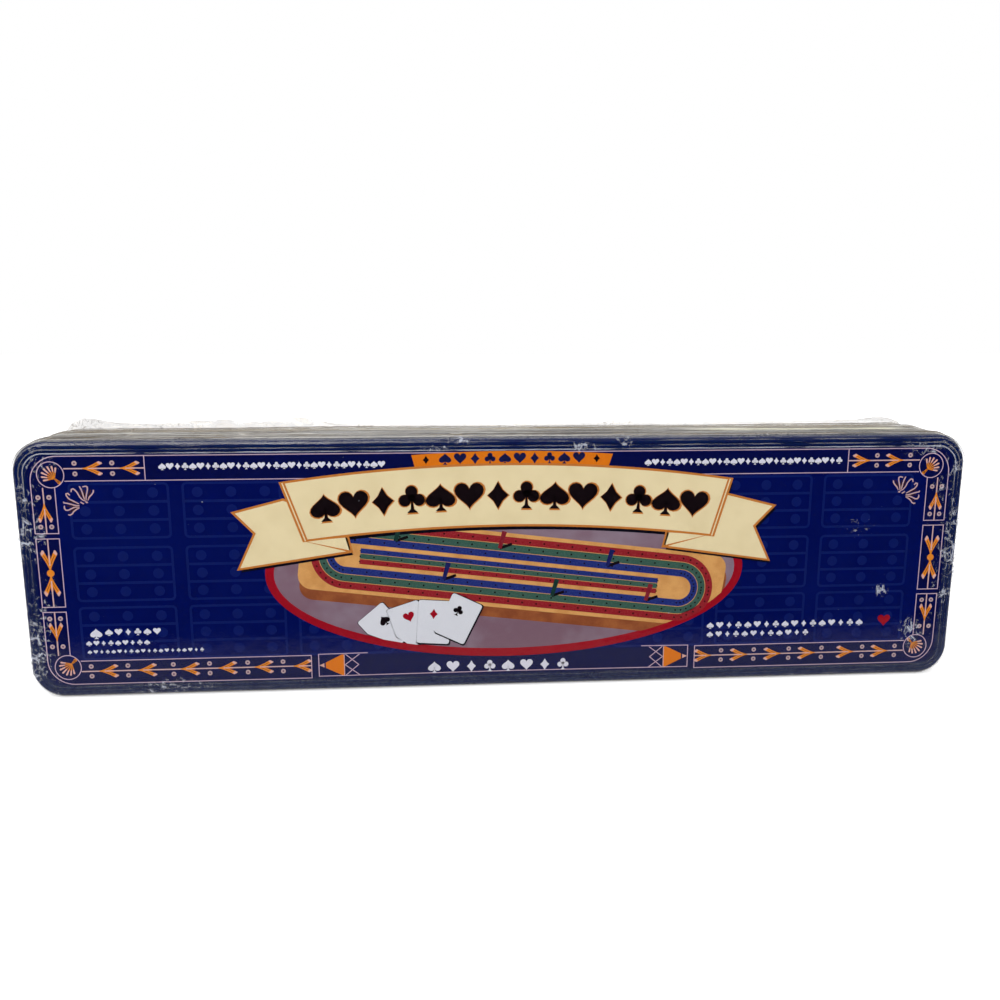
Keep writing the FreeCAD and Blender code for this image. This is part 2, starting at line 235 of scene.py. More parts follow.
def side_offsets(path: Outline, closed: bool) -> np.ndarray:
    """For each point of a path, the step sideways that keeps a ribbon's edges parallel to its runs.

    The step is the mean of the two edge normals divided by the squared length of that mean, which is
    one over the cosine of half the bend. It is held to at most two at very sharp corners.

    Args:
        path: Points of the middle line.
        closed: Whether the path's end joins its start.

    Returns:
        One offset for each point, to the right of the path's direction.
    """
    along = np.roll(path, -1, axis=0) - path
    if not closed:
        along[-1] = along[-2]
    along /= np.maximum(np.linalg.norm(along, axis=1, keepdims=True), 1e-9)
    before = np.roll(along, 1, axis=0)
    if not closed:
        before[0] = along[0]
    mean = (along + before) / 2
    normal = np.column_stack([mean[:, 1], -mean[:, 0]])
    return normal / np.maximum(np.sum(mean**2, axis=1, keepdims=True), 0.25)


def stroke(path: Outline, width: float | np.ndarray) -> Outline:
    """The outline of a line of the given width, which may change along it.

    Args:
        path: Points of the middle line.
        width: One width, or one for each point.

    Returns:
        The outline: along one side and back along the other.
    """
    offset = side_offsets(path, closed=False) * (np.broadcast_to(width, len(path)) / 2)[:, None]
    return np.vstack([path + offset, (path - offset)[::-1]])


def circle(x: float, z: float, radius: float, steps: int = 24, height: float | None = None) -> Outline:
    """An ellipse: centre plus the half axes times cosine and sine of an angle that goes once round."""
    angle = np.linspace(0, 2 * math.pi, steps, endpoint=False)
    return np.column_stack([x + radius * np.cos(angle), z + (height or radius) * np.sin(angle)])


def arc(x: float, z: float, radius: float, first: float, last: float, steps: int = 12) -> Outline:
    """Part of a circle between two angles in degrees. In a section, x is the inset and z the depth."""
    angle = np.radians(np.linspace(first, last, steps))
    return np.column_stack([x + radius * np.cos(angle), z + radius * np.sin(angle)])


def arc_through(a: Sequence[float], b: Sequence[float], c: Sequence[float], steps: int = 40) -> Outline:
    """The arc from a to c by way of b.

    The centre is the point at the same distance from all three, from two linear equations.

    Args:
        a: First point.
        b: A point between.
        c: Last point.
        steps: Points on the arc.

    Returns:
        The arc's points.
    """
    p = np.array([a, b, c], float)
    system = 2 * (p[1:] - p[0])
    centre = np.linalg.solve(system, np.sum(p[1:] ** 2, axis=1) - np.sum(p[0] ** 2))
    angles = np.unwrap(np.arctan2(*(p - centre).T[::-1]))
    angle = np.linspace(angles[0], angles[2], steps)
    radius = float(np.linalg.norm(p[0] - centre))
    return centre + radius * np.column_stack([np.cos(angle), np.sin(angle)])


def placed(outline: Outline, x: float, z: float, turn: float = 0.0, scale: float = 1.0) -> Outline:
    """An outline scaled and turned about its own origin, then moved.

    Args:
        outline: Points.
        x: New place of the origin.
        z: New height of the origin.
        turn: Angle in degrees, counterclockwise as the lid is looked at.
        scale: Size factor.

    Returns:
        The moved points.
    """
    c, s = math.cos(math.radians(turn)) * scale, math.sin(math.radians(turn)) * scale
    return outline @ np.array([[c, s], [-s, c]]) + np.array([x, z])


def mirrored(outline: Outline) -> Outline:
    """The outline's mirror image on the other side of the tin's middle."""
    return outline * np.array([-1.0, 1.0])


def rectangle(x0: float, z0: float, x1: float, z1: float) -> Outline:
    """The four corners of an upright rectangle."""
    return np.array([(x0, z0), (x1, z0), (x1, z1), (x0, z1)], float)


def smooth_noise(u: np.ndarray, v: np.ndarray, seed: int, cells: tuple[int, int] = (64, 64)) -> np.ndarray:
    """Lattice noise from 0 to 1 that repeats: random corner values, blended by 3t squared - 2t cubed.

    Args:
        u: First coordinate, one unit for each cell.
        v: Second coordinate.
        seed: Chooses the random values.
        cells: Cells before the noise repeats.

    Returns:
        One value for each pair of coordinates.
    """
    table = np.random.default_rng(seed).random(cells)
    i, j = np.floor(u).astype(int), np.floor(v).astype(int)
    fu, fv = u - i, v - j
    wu, wv = fu * fu * (3 - 2 * fu), fv * fv * (3 - 2 * fv)
    i0, j0, i1, j1 = i % cells[0], j % cells[1], (i + 1) % cells[0], (j + 1) % cells[1]
    low = table[i0, j0] * (1 - wu) + table[i1, j0] * wu
    high = table[i0, j1] * (1 - wu) + table[i1, j1] * wu
    return low * (1 - wv) + high * wv


@dataclass(frozen=True)
class RoundedLoop:
    """A rounded rectangle sampled once round, with an outward direction at each point."""

    half_length: float
    half_height: float
    radius: float
    step: float = 6.0
    arc_steps: int = 14

    def sample(self) -> tuple[np.ndarray, np.ndarray]:
        """Points and outward directions, counterclockwise from the right end of the bottom run.

        Each quarter circle is its centre plus the radius times a direction; the straight runs between
        are divided evenly.

        Returns:
            Points and unit directions, in X and height above the middle.
        """
        a, b, r = self.half_length - self.radius, self.half_height - self.radius, self.radius
        points, directions = [], []
        for k, (sx, sz) in enumerate([(1, -1), (1, 1), (-1, 1), (-1, -1)]):
            angle = np.radians(90 * (k - 1) + np.linspace(0, 90, self.arc_steps))
            out = np.column_stack([np.cos(angle), np.sin(angle)])
            points.append(np.array([sx * a, sz * b]) + r * out)
            directions.append(out)
            run = 2 * (b if k % 2 == 0 else a)
            inner = np.linspace(0, 1, max(3, round(run / self.step)))[1:-1, None]
            ahead = np.array([-out[-1, 1], out[-1, 0]])
            points.append(points[-1][-1] + inner * run * ahead)
            directions.append(np.repeat(out[-1:], len(inner), axis=0))
        return np.vstack(points), np.vstack(directions)

    def sweep(self, inset: np.ndarray, y: np.ndarray) -> np.ndarray:
        """Carries a profile round the loop: each point moves inwards by the inset, to depth y.

        Args:
            inset: Distance inwards from the loop, one for each profile point, or one row of them for
                each loop point.
            y: Depth, in the same form.

        Returns:
            Points as rows of the profile, each once round the loop.
        """
        at, out = self.sample()
        inset, y = (np.broadcast_to(v, (len(at), np.shape(v)[-1])) for v in (inset, y))
        flat = at[:, None, :] - out[:, None, :] * inset[:, :, None]
        rows = np.stack([flat[..., 0], y, flat[..., 1] + TIN.centre_z], axis=-1)
        return rows.transpose(1, 0, 2)


def wave(across: np.ndarray) -> np.ndarray:
    """One cosine wave: 1 at nought, falling to 0 at one either side."""
    return (1 + np.cos(math.pi * across)) / 2


# ---------------------------------------------------------------- materials


class Val:
    """A number that varies over a surface. Arithmetic on it adds Math nodes."""

    def __init__(self, tree: "Tree", socket: Socket) -> None:
        """Wraps an output socket."""
        self.tree = tree
        self.socket = socket

    def math(self, operation: str, *others: "Val | float", clamp: bool = False) -> "Val":
        """One Math node on this value and the others."""
        node = self.tree.node("ShaderNodeMath", {"operation": operation, "use_clamp": clamp},
                              dict(enumerate([self, *others])))
        return Val(self.tree, node.outputs[0])

    __add__ = __radd__ = partialmethod(math, "ADD")
    __sub__ = partialmethod(math, "SUBTRACT")
    __mul__ = __rmul__ = partialmethod(math, "MULTIPLY")
    __truediv__ = partialmethod(math, "DIVIDE")
    __pow__ = partialmethod(math, "POWER")
    __abs__ = partialmethod(math, "ABSOLUTE")
    __lt__ = partialmethod(math, "LESS_THAN")
    __gt__ = partialmethod(math, "GREATER_THAN")
    least = partialmethod(math, "MINIMUM")
    most = partialmethod(math, "MAXIMUM")

    def __rsub__(self, other: float) -> "Val":
        """The number less this value."""
        return self.tree.value(other).math("SUBTRACT", self)

    def clamped(self) -> "Val":
        """Held between 0 and 1."""
        return self.math("ADD", 0.0, clamp=True)

    def ramp(self, low: float, high: float) -> "Val":
        """0 at low, 1 at high, held at both ends."""
        return ((self - low) / (high - low)).clamped()

    def beyond(self, other: "Val") -> "Val":
        """The length of the hypotenuse of this value and another."""
        return (self * self + other * other) ** 0.5


class Tree:
    """The nodes of one material or world."""

    def __init__(self, owner: str | bpy.types.World) -> None:
        """Starts an empty material of this name, or empties a world."""
        self.owner = bpy.data.materials.new(owner) if isinstance(owner, str) else owner
        self.owner.use_nodes = True
        self.nodes = self.owner.node_tree
        self.nodes.nodes.clear()

    @staticmethod
    def socket(sockets: bpy.types.bpy_prop_collection, key: int | str) -> Socket:
        """A socket by number, identifier or name."""
        if isinstance(key, int):
            return sockets[key]
        return next((s for s in sockets if s.identifier == key), None) or sockets[key]

    def node(self, kind: str, settings: dict | None = None, inputs: dict | None = None) -> bpy.types.Node:
        """Adds any node.

        Args:
            kind: The node's type.
            settings: Properties set first.
            inputs: Values or links by socket number, identifier or name.

        Returns:
            The node.
        """
        made = self.nodes.nodes.new(kind)
        for key, value in (settings or {}).items():
            setattr(made, key, value)
        for key, value in (inputs or {}).items():
            socket = self.socket(made.inputs, key)
            source = value.socket if isinstance(value, Val) else value
            if isinstance(source, Socket):
                self.nodes.links.new(source, socket)
            else:
                socket.default_value = source
        return made

    def value(self, number: float) -> Val:
        """A plain number at the start of an expression."""
        return Val(self, self.node("ShaderNodeMath", {"operation": "ADD"}, {0: number, 1: 0.0}).outputs[0])

    def place(self) -> tuple[Val, Val, Val, Socket]:
        """Object coordinates in millimetres: X, Y, height above the tin's middle, and all three as a vector."""
        source = self.node("ShaderNodeTexCoord").outputs["Object"]
        moved = self.node("ShaderNodeMapping", {"vector_type": "POINT"},
                          {"Vector": source, "Scale": (1 / MM,) * 3, "Location": (0.0, 0.0, -TIN.centre_z)})
        apart = self.node("ShaderNodeSeparateXYZ", inputs={0: moved.outputs[0]})
        x, y, z = (Val(self, socket) for socket in apart.outputs)
        return x, y, z, moved.outputs[0]

    def edge_inset(self, x: Val, z: Val) -> Val:
        """How far inside the tin's outline a place is: the corner radius less the distance past its centre."""
        past_x = (abs(x) - (TIN.half_length - TIN.corner)).most(0.0)
        past_z = (abs(z) - (TIN.half_height - TIN.corner)).most(0.0)
        return TIN.corner - past_x.beyond(past_z)

    def spot(self, x: Val, z: Val, at: Pair, reach: Pair) -> Val:
        """A soft patch: 1 in the middle, 0 at the edge of an ellipse."""
        return 1.0 - ((x - at[0]) / reach[0]).beyond((z - at[1]) / reach[1]).ramp(0.45, 1.0)

    def stretched(self, vector: Socket, scale: Sequence[float],
                  turn: Sequence[float] = (0.0, 0.0, 0.0)) -> Socket:
        """A vector scaled along its axes after a turn, in radians."""
        made = self.node("ShaderNodeMapping", {"vector_type": "POINT"},
                         {"Vector": vector, "Scale": tuple(scale), "Rotation": tuple(turn)})
        return made.outputs[0]

    def noise(self, vector: Socket, scale: float, detail: float = 3.0, rough: float = 0.55,
              distortion: float = 0.0) -> Val:
        """Noise about 0.5, with its scale in cells for each unit of the vector."""
        made = self.node("ShaderNodeTexNoise", None, {"Vector": vector, "Scale": scale, "Detail": detail,
                                                      "Roughness": rough, "Distortion": distortion})
        return Val(self, made.outputs[0])

    def cracks(self, vector: Socket, scale: float) -> Val:
        """The distance to the nearest edge between random cells."""
        made = self.node("ShaderNodeTexVoronoi", {"feature": "DISTANCE_TO_EDGE"},
                         {"Vector": vector, "Scale": scale})
        return Val(self, made.outputs["Distance"])

    def mix(self, share: Val | float, first: object, second: object) -> Socket:
        """A colour between two, each given as sRGB numbers or a socket."""
        a, b = (srgb(c) if isinstance(c, tuple) else c for c in (first, second))
        made = self.node("ShaderNodeMix", {"data_type": "RGBA"},
                         {"Factor_Float": share, "A_Color": a, "B_Color": b})
        return next(s for s in made.outputs if s.identifier == "Result_Color")

    def bump(self, height: Val, distance: float) -> Socket:
        """A normal that follows a height in units of the distance, which is in millimetres."""
        inputs = {"Height": height, "Distance": distance * MM, "Strength": 1.0}
        return self.node("ShaderNodeBump", None, inputs).outputs[0]

    def principled(self, **inputs: object) -> Socket:
        """A Principled shader; underscores in a name stand for spaces."""
        named = {key.replace("_", " "): srgb(v) if key == "Base_Color" and isinstance(v, tuple) else v
                 for key, v in inputs.items()}
        return self.node("ShaderNodeBsdfPrincipled", None, named).outputs[0]

    def surface(self, shader: Socket) -> Material:
        """Ends the material with this shader."""
        self.node("ShaderNodeOutputMaterial", None, {"Surface": shader})
        return self.owner


@dataclass(frozen=True)
class Enamel:
    """Navy printing lacquer on tinplate, a darker band of it round the border."""

    field: Rgb = (0, 12, 84)
    field_light: Rgb = (4, 20, 94)
    band: Rgb = (5, 12, 70)
    outer: Rgb = (10, 30, 74)
    # Colour of the painted floor reflection at the bottom of the shoulder.
    shoulder_floor_reflection: Rgb = (46, 56, 86)
    skirt: Rgb = (44, 56, 84)
    bare: Rgb = (196, 170, 112)
    inside_mark: str = "inside"
    band_half_length: float = 182.9
    band_half_height: float = 38.3
    roughness: float = 0.12

    def build(self) -> Material:
        """The lacquer: two blues by place, cloudy tone, a shoulder painted paler towards the bottom as a reflection of
        the floor, fine orange peel, dull rubs, and bare plate inside.
        """
        t = Tree("lid_enamel")
        x, y, z, at = t.place()
        cloud = t.noise(at, 0.03, 4.0).ramp(0.4, 0.75)
        outside = (abs(x) - self.band_half_length).most(abs(z) - self.band_half_height).ramp(-0.4, 0.4)
        flat = t.mix(outside, t.mix(cloud * 0.6, self.field, self.field_light), self.band)
        mottle = t.noise(at, 0.6, 4.0, 0.7).ramp(0.4, 0.62) * 0.7 + 0.3
        # Painted reflection of the floor: the shoulder grows paler and greyer towards the bottom.
        rim = t.mix(z.ramp(-52.0, 15.0), self.shoulder_floor_reflection, self.outer)
        flat = t.mix((1.0 - t.edge_inset(x, z).ramp(4.9, 6.3)) * mottle, flat, rim)
        base = t.mix(y.ramp(TIN.face_y + 1.0, TIN.face_y + 4.0), flat, self.skirt)
        inside = Val(t, t.node("ShaderNodeAttribute", {"attribute_name": self.inside_mark}).outputs["Fac"])
        rubs = t.noise(t.stretched(at, (0.05, 0.05, 0.6)), 1.0, 5.0).ramp(0.62, 0.8)
        peel = t.noise(at, 0.9, 2.0)
        return t.surface(t.principled(
            Base_Color=t.mix(inside, base, self.bare), Metallic=inside * 0.85, Specular_IOR_Level=0.2,
            Roughness=rubs * 0.12 + inside * 0.2 + self.roughness, Normal=t.bump(peel, 0.01)))


@dataclass(frozen=True)
class Ink:
    """One printed colour on the lid, with a second tone mottled into it."""

    name: str
    colour: Rgb
    tone: Rgb
    mottle: float = 0.25
    scale: float = 0.5
    roughness: float = 0.34

    def build(self) -> Material:
        """The ink: its colour with the tone in soft flecks, and the faint grain of the screen."""
        t = Tree(f"ink_{self.name}")
        _, _, _, at = t.place()
        flecks = t.noise(at, self.scale, 4.0, 0.65).ramp(0.42, 0.72)
        grain = t.noise(at, 4.0, 1.0)
        return t.surface(t.principled(
            Base_Color=t.mix(flecks * self.mottle, self.colour, self.tone),
            Roughness=grain * 0.1 + (self.roughness - 0.05), Specular_IOR_Level=0.1,
            Normal=t.bump(grain, 0.004)))


@dataclass(frozen=True)
class GoldLacquer:
    """Tinplate under a clear yellow lacquer, drawn along its length."""

    colour: Rgb = (214, 186, 118)
    deep: Rgb = (150, 118, 62)

    def build(self) -> Material:
        """The lacquered plate: long draw lines, cloudy depth of lacquer and small dull spots."""
        t = Tree("gold_lacquer")
        _, _, _, at = t.place()
        lines = t.noise(t.stretched(at, (0.02, 2.2, 2.2)), 1.0, 4.0)
        cloud = t.noise(at, 0.05, 3.0)
        spots = t.noise(at, 0.8, 2.0).ramp(0.68, 0.8)
        share = ((lines - 0.5) * 0.5 + (cloud - 0.5) * 0.8 + 0.3).clamped()
        return t.surface(t.principled(
            Base_Color=t.mix(share, self.colour, self.deep), Metallic=0.85,
            Roughness=lines * 0.18 + spots * 0.15 + 0.2, Normal=t.bump(lines, 0.01)))


@dataclass(frozen=True)
class ClearFilm:
    """Shrink film: clear when faced, a mirror at a slant, white where it is crumpled, with painted glints, highlights
    and a shade line.
    """

    name: str = "clear_film"
    facing: float = 0.03
    slant: float = 0.9
    crease: float = 0.6
    everywhere: float = 0.0
    milky: float = 0.0
    # Insets and strengths of the painted highlight lines over the rim's grooves.
    ridges: Path = ((1.2, 0.11), (3.1, 0.1), (4.7, 0.27))
    scuffs: tuple[tuple[float, float, float, float, float], ...] = (
        (-192.0, 16.0, 7.0, 6.0, 0.75), (-194.0, -24.0, 8.0, 7.0, 0.65), (-143.0, -50.5, 24.0, 5.5, 0.55),
        (180.0, 48.5, 13.0, 5.5, 0.6), (195.0, -17.5, 5.0, 5.0, 0.85), (166.0, -14.6, 4.6, 4.2, 0.85),
        (181.0, -34.0, 6.5, 9.0, 0.9), (-187.0, 45.5, 8.0, 7.0, 0.5), (32.0, 50.5, 8.0, 3.0, 0.75),
        (-29.0, 50.5, 8.0, 2.6, 0.6), (154.0, 14.0, 8.0, 7.0, 0.3))
    end_zone: Pair = (183.5, 194.0)
    rim_zone: Pair = (47.6, 52.5)
    top_zone: Pair = (46.0, 52.0)
    lit_from: Pair = (78.0, 96.0)
    lit_to: Pair = (172.0, 184.0)
    scuffed_depth: Pair = (6.0, 9.0)
    # Depths of a painted highlight line and a painted shade line along the top, and their colours.
    lip_y: float = -4.6
    lip_shade_y: float = -14.5
    lip_glow: Rgb = (253, 250, 214)
    lip_shade: Rgb = (92, 86, 56)
    pale: Rgb = (247, 243, 233)
    fleck: Rgb = (226, 232, 250)
    warm: Rgb = (122, 102, 62)

    def creases(self, t: Tree, at: Socket, near: Val) -> Val:
        """Broken creases: two nets of random cell edges, bent by noise and cut into flecks that are partly crumpled
        film and partly painted glints.

        Args:
            t: The material being built.
            at: The place.
            near: How crumpled the film is here. The more, the fewer of the creases are cut away.

        Returns:
            How white the creases are.
        """
        warped = t.node("ShaderNodeMix", {"data_type": "VECTOR"}, {
            "Factor_Float": 0.35, "A_Vector": at,
            "B_Vector": t.node("ShaderNodeTexNoise", None, {"Vector": at, "Scale": 0.25}).outputs[1]})
        bent = next(s for s in warped.outputs if s.identifier == "Result_Vector")
        wide = 1.0 - t.cracks(t.stretched(bent, (0.4, 0.4, 0.22), (0.0, 0.5, 0.0)), 1.0).ramp(0.0, 0.09)
        fine = 1.0 - t.cracks(t.stretched(bent, (0.8, 0.8, 0.5), (0.0, -0.7, 0.0)), 1.0).ramp(0.0, 0.1)
        glints = (t.noise(at, 0.5, 2.0, 0.7) + (near - 0.5) * 0.25).ramp(0.5, 0.66)
        return wide.most(fine * 0.7) * glints

    def painted_ridge_highlights(self, t: Tree, x: Val, z: Val, at: Socket) -> Val:
        """Painted highlights: pale lines along the film over the rim's grooves, fading in and out."""
        inset = t.edge_inset(x, z) + (t.noise(at, 0.12, 1.0) - 0.5) * 0.35
        along = t.noise(t.stretched(at, (0.045, 0.045, 0.045)), 1.0, 3.0, 0.65)
        total = t.value(0.0)
        for k, (centre, strength) in enumerate(self.ridges):
            line = 1.0 - abs(inset - centre).ramp(0.12, 0.34)
            total = total.most(line * (along + 0.04 * k).ramp(0.42, 0.64) * strength)
        return total * (z.ramp(25.0, 46.0) * 0.9 + 0.1)

    def build(self) -> Material:
        """The film: how much of it shows grows with slant, and along creases near the ends and edges.

        A clear face mirrors about a thirtieth of what is in front of it, and at a slant the share rises
        with the fifth power of one less the cosine of the angle. White creases, partly painted glints, lie
        over the mirror with painted sparkles, painted highlight streaks and painted highlight lines: both
        shares add less their product, and the surface is metallic by the mirror's part of the sum. Along
        the top, at a slant, a painted highlight line with a painted shade line in front of it runs over the
        right half.
        """
        t = Tree(self.name)
        x, y, z, at = t.place()
        weight = Val(t, t.node("ShaderNodeLayerWeight", None, {"Blend": 0.5}).outputs["Facing"])
        grazing = weight.ramp(0.35, 0.8)
        ends = abs(x).ramp(*self.end_zone)
        rims = abs(z).ramp(*self.rim_zone)
        side = y.ramp(TIN.face_y + 1.0, TIN.face_y + 3.0) * (1.0 - y.ramp(TIN.back_y - 2.4, TIN.back_y - 0.6))
        patches = t.noise(at, 0.06, 3.0).ramp(0.36, 0.56)
        near = (ends * 0.85 + side * 0.4).clamped() * patches + self.everywhere
        torn = t.noise(at, 0.035, 2.0).ramp(0.6, 0.66) * rims
        near = near + torn * 0.8
        ahead = 1.0 - y.ramp(*(TIN.face_y + depth for depth in self.scuffed_depth))
        for a, b, across, up, strength in self.scuffs:
            near = near.most(t.spot(x, z, (a, b), (across, up)) * ahead * strength)
        crumpled = self.creases(t, at, near) * near.clamped() + near.ramp(0.9, 1.5) * t.noise(at, 0.3, 2.0) * 0.16
        # Painted highlight streaks along the top and bottom rims, stronger at a slant.
        streaks = t.noise(t.stretched(at, (0.05, 1.4, 1.4)), 1.0, 2.0)
        painted_streak_highlights = streaks.ramp(0.62, 0.68) * rims * t.noise(at, 0.05, 2.0).ramp(0.4, 0.6)
        painted_streak_highlights = painted_streak_highlights * (grazing * 0.25 + 0.1)
        # Painted sparkles: small white specks that stand for glints on the film.
        painted_sparkles = t.noise(at, 0.5, 2.0).ramp(0.79, 0.81) * 0.5
        # Painted highlight line (glint) along the top's right half, with a painted shade line (gap) in front of it;
        # both show only at a slant.
        lit = z.ramp(*self.top_zone) * x.ramp(*self.lit_from) * (1.0 - x.ramp(*self.lit_to))
        lit = lit * weight.ramp(0.6, 0.8)
        glint = (1.0 - abs(y - self.lip_y).ramp(1.4, 5.0)) * lit
        gap = (1.0 - abs(y - self.lip_shade_y).ramp(1.6, 4.2)) * lit
        white = (crumpled * self.crease + painted_streak_highlights + painted_sparkles + self.painted_ridge_highlights(t, x, z, at) + self.milky
                 + glint * 0.8).clamped()
        along = side * abs(z).ramp(*self.top_zone)
        mirror = (weight ** 5.0 * self.slant + self.facing + along * (grazing * 0.09 + 0.03)).clamped()
        share = mirror + white - mirror * white
        folds = t.noise(t.stretched(at, (0.02, 0.16, 0.1)), 1.0, 3.0, 0.6)
        height = crumpled * 0.25 + folds * side * 1.6 + t.noise(at, 0.16, 3.0) * 0.25
        drawn = t.noise(t.stretched(at, (0.01, 0.26, 0.26)), 1.0, 3.0, 0.6).ramp(0.47, 0.56)
        front = 1.0 - y.ramp(TIN.face_y + 2.0, TIN.face_y + 12.0)
        tone = t.mix(along * (drawn * 0.9 + front * 0.5).clamped(), self.pale, self.warm)
        tone = t.mix(white.ramp(0.0, 0.25) * (1.0 - along), tone, self.fleck)
        tone = t.mix(glint, t.mix(gap * 0.8, tone, self.lip_shade), self.lip_glow)
        shiny = t.principled(Base_Color=tone, Roughness=0.08, Metallic=mirror * (1.0 - white) / share.most(0.001),
                             Normal=t.bump(height, 1.0))
        clear = t.node("ShaderNodeBsdfTransparent", None, {"Color": (0.98, 0.98, 0.985, 1.0)}).outputs[0]
        mixed = t.node("ShaderNodeMixShader", None, {0: share, 1: clear, 2: shiny})
        return t.surface(mixed.outputs[0])


@dataclass(frozen=True)
class FormedPlastic:
    """Thin vacuum-formed plastic."""

    colour: Rgb = (38, 38, 42)
    sheen: Rgb = (62, 62, 68)

    def build(self) -> Material:
        """The plastic: even colour, faint flow clouds and a fine pebble from the mould."""
        t = Tree("tray_plastic")
        _, _, _, at = t.place()
        pebble = t.noise(at, 1.6, 3.0)
        flow = t.noise(t.stretched(at, (0.03, 0.08, 0.08)), 1.0, 4.0)
        return t.surface(t.principled(
            Base_Color=t.mix(flow.ramp(0.35, 0.75), self.colour, self.sheen),
            Roughness=flow * 0.2 + 0.38, Normal=t.bump(pebble, 0.03)))


@dataclass(frozen=True)
class BoardWood:
    """The playing board: pale hardwood with a three-lane track printed on its face."""

    pale: Rgb = (222, 178, 118)
    grain: Rgb = (176, 122, 66)
    pore: Rgb = (120, 78, 40)
    lanes: tuple[Rgb, Rgb, Rgb] = ((28, 52, 128), (40, 92, 66), (162, 32, 34))
    edging: Rgb = (20, 16, 18)
    showing: Rgb = (225, 190, 150)
    front_y: float = -18.0
    run_z: float = 33.1
    right_turn_x: float = 138.1
    left_turn_x: float = -150.1
    middle_end_x: float = 95.1
    lane_pitch: float = 6.0
    edging_half_width: float = 0.22
    start_length: float = 13.0
    finish_length: float = 3.5

    def offset(self, t: Tree, x: Val, z: Val) -> tuple[Val, Val]:
        """The distance outwards from the track's middle lane, and where the track is.

        Along each run it is the height above the run's middle line, and in each turn the distance from
        the turn's centre less its radius.

        Args:
            t: Not used.
            x: Place along the board.
            z: Height above the board's middle.

        Returns:
            The offset, and 1 on the track.
        """
        half = self.run_z / 2
        right = x > self.right_turn_x
        left = x < self.left_turn_x
        upper = z > half
        lower = z < -half
        turn = (x - self.right_turn_x).beyond(z) - self.run_z
        small = (x - self.left_turn_x).beyond(z + half) - half
        top = z - self.run_z
        bottom = (z + self.run_z) * -1.0
        straight = upper * top + lower * bottom + (1.0 - upper) * (1.0 - lower) * z
        at_left = upper * top + (1.0 - upper) * small
        offset = right * turn + left * at_left + (1.0 - right) * (1.0 - left) * straight
        middle = (1.0 - upper) * (1.0 - lower) * (1.0 - left)
        past_end = middle * (x > self.middle_end_x + self.finish_length) * (1.0 - right)
        before_start = upper * (x < self.left_turn_x - self.start_length)
        shown = (abs(offset) < self.lane_pitch * 1.5) * (1.0 - past_end) * (1.0 - before_start)
        return offset, shown

    def build(self) -> Material:
        """The wood: stretched rings and pores, stained lanes on the front face with thin lines between."""
        t = Tree("board_wood")
        x, y, z, at = t.place()
        rings = t.noise(t.stretched(at, (0.012, 0.16, 0.16)), 1.0, 6.0, 0.6, 1.2)
        pores = t.noise(t.stretched(at, (0.12, 3.0, 3.0)), 1.0, 2.0).ramp(0.58, 0.72)
        wood = t.mix(rings.ramp(0.35, 0.7), self.pale, self.grain)
        wood = t.mix(pores * 0.35, wood, self.pore)
        offset, shown = self.offset(t, x, z)
        face = y < self.front_y + 0.3
        inner, middle, outer = self.lanes
        half = self.lane_pitch / 2
        stain = t.mix(offset > -half, inner, middle)
        stain = t.mix(offset > half, stain, outer)
        near_line = abs(abs(offset) - half).least(abs(abs(offset) - 3 * half)) < self.edging_half_width
        stain = t.mix(near_line, stain, self.edging)
        stain = t.mix(rings.ramp(0.3, 0.8) * 0.22, stain, self.showing)
        return t.surface(t.principled(
            Base_Color=t.mix(shown * face, wood, stain), Roughness=pores * 0.25 + 0.36,
            Normal=t.bump(rings * 0.4 + pores * -0.6, 0.05)))


@dataclass(frozen=True)
class Metal:
    """Bare or plated metal with fine lines along X."""

    name: str
    colour: Rgb
    roughness: float = 0.28
    lines: Triple = (0.05, 4.0, 4.0)

    def build(self) -> Material:
        """The metal: brushed lines in its roughness and height, and a few handling marks."""
        t = Tree(self.name)
        _, _, _, at = t.place()
        brushed = t.noise(t.stretched(at, self.lines), 1.0, 4.0)
        marks = t.noise(at, 0.25, 4.0).ramp(0.6, 0.75)
        dull = tuple(round(c * 0.8) for c in self.colour)
        return t.surface(t.principled(
            Base_Color=t.mix(marks * 0.5, self.colour, dull), Metallic=1.0,
            Roughness=brushed * 0.2 + marks * 0.1 + (self.roughness - 0.1), Normal=t.bump(brushed, 0.01)))


@dataclass(frozen=True)
class PegPaint:
    """Coloured anodised metal pegs."""

    name: str
    colour: Rgb

    def build(self) -> Material:
        """The peg's colour, with turning rings round it and pale rubbed spots."""
        t = Tree(self.name)
        _, _, _, at = t.place()
        rings = t.noise(t.stretched(at, (6.0, 0.1, 0.1)), 1.0, 2.0)
        rubbed = t.noise(at, 0.7, 4.0).ramp(0.64, 0.8)
        light = tuple(min(255, c + 70) for c in self.colour)
        return t.surface(t.principled(
            Base_Color=t.mix(rubbed * 0.6, self.colour, light), Metallic=0.55,
            Roughness=rings * 0.15 + 0.25, Normal=t.bump(rings, 0.02)))


